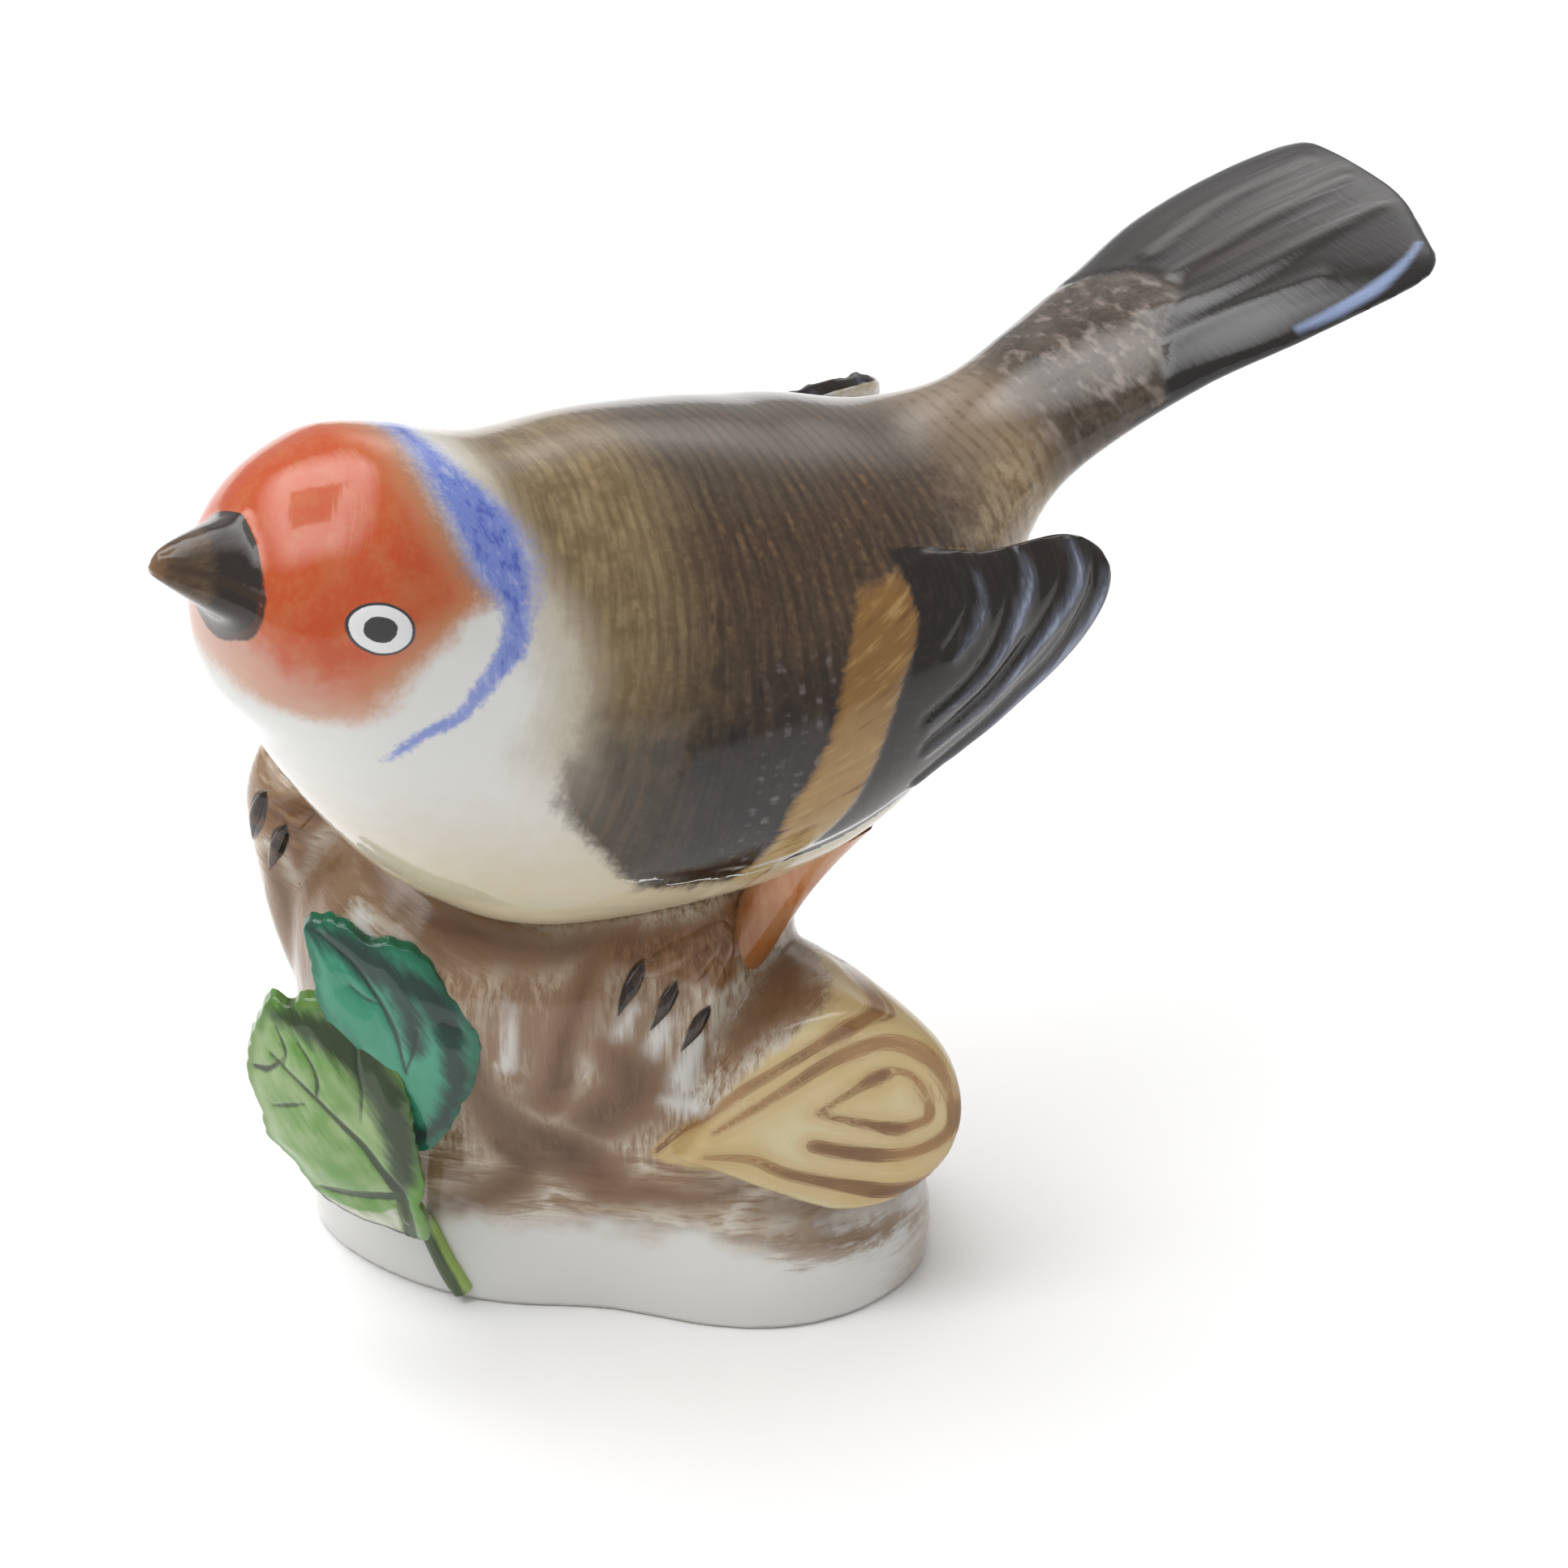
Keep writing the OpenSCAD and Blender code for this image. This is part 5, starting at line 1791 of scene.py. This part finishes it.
@dataclass
class Leaf:
    """One sprigged leaf, cut to its toothed outline, bowed over the stump, with engraved veins."""

    node: str
    outline: Points
    light: Colour
    middle: Colour
    deep: Colour
    ink: Colour
    veins: tuple[Points, ...]
    shades: tuple[Points, ...]
    glows: tuple[Points, ...]
    blooms: tuple[Points, ...]
    lip: Points | None = None
    forward: float = 0.0
    thick: float = 1.1
    tooth: float = 0.14
    tooth_pitch: float = 1.5
    voxel: float = 0.2

    def bow(self) -> Callable[[Array, Array], Array]:
        """Fits the bowed surface of the leaf to its frame node.

        Returns:
            A function that reads the depth across the stump from the place along it and the height.
        """
        at = Bench.points(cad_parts[self.node])
        s, t = Stump.own_axes(at)
        s0, z0 = s.mean(), at[:, 2].mean()

        def terms(a: Array, b: Array) -> Array:
            """Lists the terms of the surface."""
            return np.column_stack([np.ones_like(a), a, b, a * a, a * b, b * b])

        share = np.linalg.lstsq(terms(s - s0, at[:, 2] - z0), t, rcond=None)[0]
        return lambda s_at, z_at: terms(s_at - s0, z_at - z0) @ share - self.forward

    def blank(self) -> Piece:
        """Models the leaf: a bowed sheet, cut by its outline and softened.

        Returns:
            The leaf, without its relief.
        """
        ring = np.array(self.outline)
        low, high = ring.min(axis=0) - 1.5, ring.max(axis=0) + 1.5
        steps = ((high - low) / 0.5).astype(int)
        bpy.ops.object.select_all(action="DESELECT")
        bpy.ops.mesh.primitive_grid_add(x_subdivisions=int(steps[0]), y_subdivisions=int(steps[1]), size=2.0)
        sheet = bpy.context.object
        flat = Bench.points(sheet) * MM
        s = (low[0] + high[0]) / 2 + flat[:, 0] * (high[0] - low[0]) / 2
        z = (low[1] + high[1]) / 2 + flat[:, 1] * (high[1] - low[1]) / 2
        Bench.move(sheet, np.column_stack([*Stump.row_axes(s, self.bow()(s, z)), z]))
        Bench.apply(sheet, "SOLIDIFY", thickness=self.thick * MM, offset=0.0)
        cutter = self.cookie()
        for obj in (sheet, cutter):
            Bench.pick(obj)
            bpy.ops.object.mode_set(mode="EDIT")
            bpy.ops.mesh.select_all(action="SELECT")
            bpy.ops.mesh.normals_make_consistent(inside=False)
            bpy.ops.object.mode_set(mode="OBJECT")
        Bench.cut(sheet, cutter, Cut.KEEP)
        Bench.drop(cutter)
        Bench.fuse(sheet, self.voxel, 4)
        return sheet

    def cookie(self) -> Piece:
        """Makes the cutter of the leaf's toothed outline.

        Returns:
            The cutter, a straight prism across the stump.
        """
        ring = bend([self.outline[-1], *self.outline, self.outline[0], self.outline[1]], 10)[10:-10][:-1]
        way = np.roll(ring, -1, axis=0) - np.roll(ring, 1, axis=0)
        way /= np.linalg.norm(way, axis=1)[:, None]
        run = np.cumsum(np.linalg.norm(np.diff(ring, axis=0, prepend=ring[-1:]), axis=1))
        out = np.column_stack([way[:, 1], -way[:, 0]])
        middle = ring.mean(axis=0)
        out *= np.sign(((ring - middle) * out).sum(axis=1).mean())
        wave = np.abs(np.sin(run * math.pi / self.tooth_pitch + 0.8 * np.sin(run * 0.37)))
        ring = ring + out * (self.tooth * (wave - 0.4) * (1 + 0.6 * np.sin(run * 0.9)))[:, None]
        count = len(ring)
        near = [Stump.at(s, -40.0, z) * MM for s, z in ring]
        far = [Stump.at(s, 30.0, z) * MM for s, z in ring]
        sides = [(i, (i + 1) % count, count + (i + 1) % count, count + i) for i in range(count)]
        mesh = bpy.data.meshes.new("cookie")
        mesh.from_pydata(near + far, [],
                         [*sides, tuple(range(count)), tuple(range(2 * count - 1, count - 1, -1))])
        obj = bpy.data.objects.new("cookie", mesh)
        bpy.context.scene.collection.objects.link(obj)
        return obj

    def relief(self, at: Array, out: Array) -> Array:
        """Engraves the veins and swells the blade between them.

        Args:
            at: Points in millimetres.
            out: Their normals.

        Returns:
            Height at each point.
        """
        s, _ = Stump.own_axes(at)
        chart = np.column_stack([s, at[:, 2]])
        veins = strokes(chart, self.veins)
        turn = math.radians(STUMP_TURN)
        facing = ease(out @ np.array([-math.sin(turn), -math.cos(turn), 0.0]), 0.1, 0.5)
        bulge = 0.22 * ease(-veins, 0.1, 2.0) * ease(inside(chart, self.outline), 0.2, 1.6)
        return facing * (bulge - 0.16 * ease(veins, -0.35, 0.1))

    def build(self) -> None:
        """Makes the leaf."""
        leaf = self.blank()
        Bench.emboss(leaf, self.relief)
        at = Bench.points(leaf)
        s, _ = Stump.own_axes(at)
        chart = np.column_stack([s, at[:, 2]])
        lip = np.full(len(at), OFF) if self.lip is None else inside(chart, self.lip)
        Bench.chart(leaf, s=s, veins=strokes(chart, self.veins), shade=strokes(chart, self.shades),
                    glow=strokes(chart, self.glows), bloom=strokes(chart, self.blooms),
                    margin=inside(chart, self.outline), lip=lip)
        Bench.finish(leaf)
        enamel = Enamels.leaf(f"{self.node}_enamel", self.light, self.middle, self.deep, self.ink)
        keep(leaf, enamel, self.node, self.node)


@dataclass
class Twig:
    """The painted twig that carries the leaves down to the foot of the stump."""

    stump: Stump
    way: Points = ((-17.9, 12.6, 0.5), (-17.5, 10.2, 0.6), (-17.0, 7.8, 0.7), (-16.1, 5.6, 0.8),
                   (-15.2, 3.7, 0.85), (-14.4, 2.2, 0.9), (-13.7, 0.95, 0.85))
    voxel: float = 0.18

    def build(self) -> None:
        """Makes the twig: a tapered rod bent over the wood."""
        curve = bpy.data.curves.new("twig", "CURVE")
        curve.dimensions = "3D"
        curve.bevel_depth = 1.0 * MM
        curve.bevel_resolution = 8
        curve.use_fill_caps = True
        spline = curve.splines.new("POLY")
        line = bend(self.way, 6)
        spline.points.add(len(line) - 1)
        leaf_at = Leaf.bow(leaves()[0])
        for point, (s, z, half) in zip(spline.points, line):
            skin, out = self.stump.front(s, z)
            on_leaf = self.stump.at(s, float(leaf_at(np.array([s]), np.array([z]))[0]), z)
            spot = on_leaf.lerp(skin + out * 0.15, float(ease(np.array([z]), 10.5, 5.0)[0]))
            point.co = (*(spot * MM), 1.0)
            point.radius = half
        rod = bpy.data.objects.new("twig", curve)
        bpy.context.scene.collection.objects.link(rod)
        Bench.pick(rod)
        bpy.ops.object.convert(target="MESH")
        twig = bpy.context.object
        Bench.fuse(twig, self.voxel, 5)
        at = Bench.points(twig)
        s, _ = Stump.own_axes(at)
        line_s = np.interp(at[:, 2], line[::-1, 1], line[::-1, 0])
        Bench.chart(twig, flank=s - line_s)
        Bench.finish(twig)
        keep(twig, Enamels.twig(), "twig", "twig")


# ---------------------------------------------------------------- studio

@dataclass
class Studio:
    """The pale floor, the soft lights and the camera."""

    azimuth: float = -32.0
    elevation: float = 32.0
    distance: float = 500.0
    target: tuple[float, float, float] = (12.0, 0.0, 36.0)
    lens: float = 155.3
    floor_size: float = 6000.0
    sky: float = 0.52

    def lamp(self, name: str, way: tuple[float, float, float], away: float, size: tuple[float, float],
             power: float, fade: float = 0.2, hole: float = 0.0) -> None:
        """Hangs a soft light that faces the figurine.

        Args:
            name: Name of the light.
            way: Direction from the figurine to the light.
            away: Distance, in metres.
            size: Width and height, in metres.
            power: Brightness of its face.
            fade: Share of its width over which its edge fades.
            hole: Half size of a dark opening in its middle, as a share of its width.
        """
        data = bpy.data.lights.new(name, "AREA")
        data.shape = "RECTANGLE"
        data.size, data.size_y = size
        data.energy = power * math.pi * size[0] * size[1]
        data.use_nodes = True
        tree = data.node_tree
        face = tree.nodes.new("ShaderNodeNewGeometry")
        parts = tree.nodes.new("ShaderNodeSeparateXYZ")
        tree.links.new(face.outputs["Parametric"], parts.inputs[0])
        tree.nodes["Emission"].inputs["Color"].default_value = (1.0, 1.0, 1.0, 1.0)

        def node(operation: str, *values: object) -> bpy.types.NodeSocket:
            """Adds a Math node to the light.

            Args:
                operation: What it works out.
                values: Numbers or sockets that go in.

            Returns:
                The socket of its result.
            """
            new = tree.nodes.new("ShaderNodeMath")
            new.operation = operation
            for i, value in enumerate(values):
                if isinstance(value, bpy.types.NodeSocket):
                    tree.links.new(value, new.inputs[i])
                else:
                    new.inputs[i].default_value = value
            return new.outputs[0]

        share = 1.0
        gaps = []
        for axis, square in (("X", 1.0), ("Y", size[1] / size[0])):
            off = node("ABSOLUTE", node("SUBTRACT", parts.outputs[axis], 0.5))
            ramp = node("DIVIDE", node("SUBTRACT", 0.5, off), fade / square)
            share = node("MULTIPLY", share, node("MINIMUM", ramp, 1.0))
            gaps.append(node("MULTIPLY", node("SUBTRACT", off, hole / square), 40.0))
        if hole > 0:
            rim = node("MAXIMUM", gaps[0], gaps[1])
            share = node("MULTIPLY", share, node("MINIMUM", node("MAXIMUM", rim, 0.25), 1.0))
        tree.links.new(share, tree.nodes["Emission"].inputs["Strength"])
        obj = bpy.data.objects.new(name, data)
        bpy.context.scene.collection.objects.link(obj)
        back = Vector(way).normalized()
        obj.rotation_mode = "QUATERNION"
        obj.rotation_quaternion = back.to_track_quat("Z", "Y")
        obj.location = Vector(self.target) * MM + back * away

    def build(self) -> None:
        """Sets the floor, the lights and the camera."""
        scene = bpy.context.scene
        scene.view_settings.view_transform = "Standard"
        bpy.ops.object.select_all(action="DESELECT")
        bpy.ops.mesh.primitive_plane_add(size=self.floor_size * MM, location=(0, 0, -0.02 * MM))
        floor = bpy.context.object
        floor.name = "floor"
        paper = Glaze("floor_paper", 0.6)
        cloud = paper.clouds(0.01, 2.0)
        sheet = paper.lay(PAINTS.paper, PAINTS.paper_light, cloud, -0.5, 0.5)
        floor.data.materials.append(paper.finish(sheet, sunk=0.0))
        world = bpy.data.worlds.new("studio")
        world.use_nodes = True
        world.node_tree.nodes["Background"].inputs[0].default_value = (1.0, 1.0, 1.0, 1.0)
        world.node_tree.nodes["Background"].inputs[1].default_value = self.sky
        scene.world = world
        self.lamp("overhead", (-0.31, 0.24, 0.91), 1.0, (1.8, 1.35), 3.8, fade=0.2, hole=0.12)
        self.lamp("behind", (0.56, 0.62, 0.50), 1.3, (1.2, 0.8), 1.9, fade=0.45)
        turn, tilt = math.radians(self.azimuth), math.radians(self.elevation)
        back = Vector((math.sin(turn) * math.cos(tilt), -math.cos(turn) * math.cos(tilt), math.sin(tilt)))
        data = bpy.data.cameras.new("camera")
        data.lens = self.lens
        data.sensor_width = 36.0
        data.clip_start, data.clip_end = 0.01, 20.0
        camera = bpy.data.objects.new("camera", data)
        scene.collection.objects.link(camera)
        camera.location = Vector(self.target) * MM + back * self.distance * MM
        camera.rotation_mode = "QUATERNION"
        camera.rotation_quaternion = back.to_track_quat("Z", "Y")
        scene.camera = camera


def leaves() -> tuple[Leaf, Leaf]:
    """Describes the two leaves on the stump's side view, as (place along it, height, half width).

    Returns:
        The light leaf and the dark leaf.
    """
    light = Leaf(
        "light_leaf",
        ((-27.5, 26.2), (-26.6, 26.7), (-25.9, 26.3), (-25.1, 27.0), (-24.0, 27.5), (-22.3, 27.4),
         (-20.9, 27.0), (-19.6, 26.2), (-18.5, 24.9), (-17.6, 23.2), (-17.0, 21.2), (-16.7, 18.8),
         (-16.3, 16.0), (-16.1, 14.0), (-16.5, 12.2), (-16.0, 10.4), (-15.9, 8.8), (-16.3, 7.6),
         (-17.4, 7.8), (-19.0, 8.6), (-21.2, 8.9), (-23.8, 10.1), (-25.2, 11.9), (-26.1, 13.4),
         (-27.9, 14.7), (-28.2, 17.0), (-28.8, 18.5), (-29.2, 20.2), (-28.8, 23.0), (-28.1, 24.9)),
        (0.30, 0.41, 0.19), (0.105, 0.265, 0.036), (0.065, 0.17, 0.02), (0.024, 0.038, 0.018),
        veins=(((-17.3, 8.0, 0.42), (-17.6, 11.0, 0.42), (-18.0, 13.3, 0.42), (-19.1, 15.2, 0.3),
                (-20.4, 17.3, 0.24), (-21.9, 18.7, 0.18), (-23.7, 20.2, 0.14), (-25.3, 21.3, 0.12),
                (-27.3, 22.6, 0.05)),
               ((-18.0, 13.0, 0.42), (-20.0, 12.5, 0.36), (-22.0, 11.9, 0.3), (-24.0, 11.4, 0.08)),
               ((-28.5, 20.9, 0.16), (-27.6, 21.2, 0.2), (-26.8, 22.0, 0.1), (-26.2, 22.8, 0.04)),
               ((-27.2, 18.2, 0.06), (-26.0, 18.9, 0.14), (-24.8, 19.6, 0.04)),
               ((-23.9, 20.5, 0.05), (-23.8, 21.8, 0.1), (-24.2, 22.9, 0.08), (-25.2, 24.2, 0.03)),
               ((-20.6, 19.6, 0.03), (-20.5, 21.9, 0.08), (-20.8, 23.4, 0.08), (-20.9, 25.0, 0.03)),
               ((-26.3, 22.2, 0.04), (-26.2, 23.4, 0.07), (-26.9, 24.8, 0.03))),
        shades=(((-27.0, 25.6, 0.1), (-24.7, 25.7, 0.7), (-22.4, 25.4, 1.1), (-20.4, 24.1, 1.3),
                 (-19.0, 22.2, 1.3), (-18.1, 19.8, 1.2), (-17.7, 17.0, 0.9), (-17.9, 14.2, 0.5)),),
        glows=(((-28.2, 23.6, 0.3), (-28.4, 19.0, 0.5), (-27.0, 16.0, 0.5)),
               ((-22.6, 22.6, 0.2), (-20.0, 19.4, 0.4), (-18.9, 16.6, 0.3))),
        blooms=(((-23.0, 23.0, 0.3), (-21.4, 20.6, 0.9)), ((-24.5, 15.0, 0.7), (-21.6, 14.6, 1.0)),
                ((-23.6, 18.0, 0.2), (-22.0, 16.8, 0.5)),
                ((-16.3, 9.0, 0.2), (-16.4, 12.0, 0.3))),
        lip=((-25.6, 12.2), (-24.0, 10.7), (-21.5, 10.4), (-19.6, 10.9), (-18.2, 11.6), (-17.7, 8.4),
             (-17.4, 7.2), (-19.0, 7.9), (-21.2, 8.2), (-23.8, 9.5)),
        forward=1.75)
    dark = Leaf(
        "dark_leaf",
        ((-24.4, 33.0), (-23.4, 33.5), (-22.1, 33.7), (-20.9, 33.4), (-19.8, 32.8), (-18.2, 33.0),
         (-16.6, 32.6), (-15.6, 32.0), (-14.6, 30.8), (-14.0, 29.7), (-12.8, 28.7), (-12.1, 27.2),
         (-11.8, 25.8), (-12.0, 24.1), (-12.4, 22.3), (-13.2, 21.0), (-13.8, 19.4), (-14.6, 17.9),
         (-15.6, 16.4), (-16.8, 16.2), (-17.3, 18.4), (-18.2, 21.0), (-19.4, 23.0), (-21.0, 24.9),
         (-22.6, 25.8), (-23.7, 27.9), (-23.9, 29.5), (-24.3, 31.1), (-24.6, 32.2)),
        (0.06, 0.30, 0.185), (0.016, 0.18, 0.10), (0.006, 0.115, 0.055), (0.020, 0.038, 0.033),
        veins=(((-23.4, 32.7, 0.04), (-21.0, 31.3, 0.1), (-19.5, 29.6, 0.12), (-18.5, 28.0, 0.14),
                (-17.8, 26.2, 0.14), (-17.2, 23.3, 0.05)),
               ((-21.2, 29.6, 0.03), (-20.0, 28.9, 0.09), (-19.2, 28.7, 0.03)),
               ((-16.3, 27.0, 0.03), (-16.6, 25.4, 0.1), (-17.2, 23.6, 0.03)),
               ((-14.4, 27.8, 0.1), (-13.9, 27.6, 0.32), (-13.4, 27.3, 0.1))),
        shades=(((-24.0, 32.8, 0.3), (-20.7, 31.9, 0.9), (-18.3, 30.9, 1.0), (-15.6, 29.8, 1.0),
                 (-14.0, 27.4, 1.0), (-13.5, 24.6, 0.8), (-13.6, 22.2, 0.7), (-14.8, 19.2, 0.5),
                 (-16.6, 17.6, 0.4)),
                ((-18.0, 30.2, 0.5), (-16.9, 28.0, 0.9), (-16.3, 25.6, 0.6))),
        glows=(((-18.3, 30.2, 0.02), (-17.6, 28.4, 0.3), (-17.3, 26.6, 0.4), (-17.0, 24.8, 0.02)),
               ((-16.0, 28.5, 0.02), (-15.4, 26.4, 0.5), (-15.3, 24.2, 0.9), (-15.6, 21.7, 0.9),
                (-15.9, 19.2, 0.1)),
               ((-23.6, 29.4, 0.2), (-21.6, 28.2, 0.9), (-19.8, 26.6, 0.8))),
        blooms=(((-16.5, 32.0, 0.3), (-13.0, 28.4, 0.3), (-12.3, 25.0, 0.3)),),
        forward=0.1)
    return light, dark


def main() -> None:
    logging.basicConfig(level=logging.INFO, format="%(message)s")
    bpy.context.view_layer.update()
    Studio().build()
    Bird().build()
    stump = Stump()
    stump.build()
    Limbs(stump).build()
    for leaf in leaves():
        leaf.build()
    Twig(stump).build()


if __name__ == "__main__":
    main()
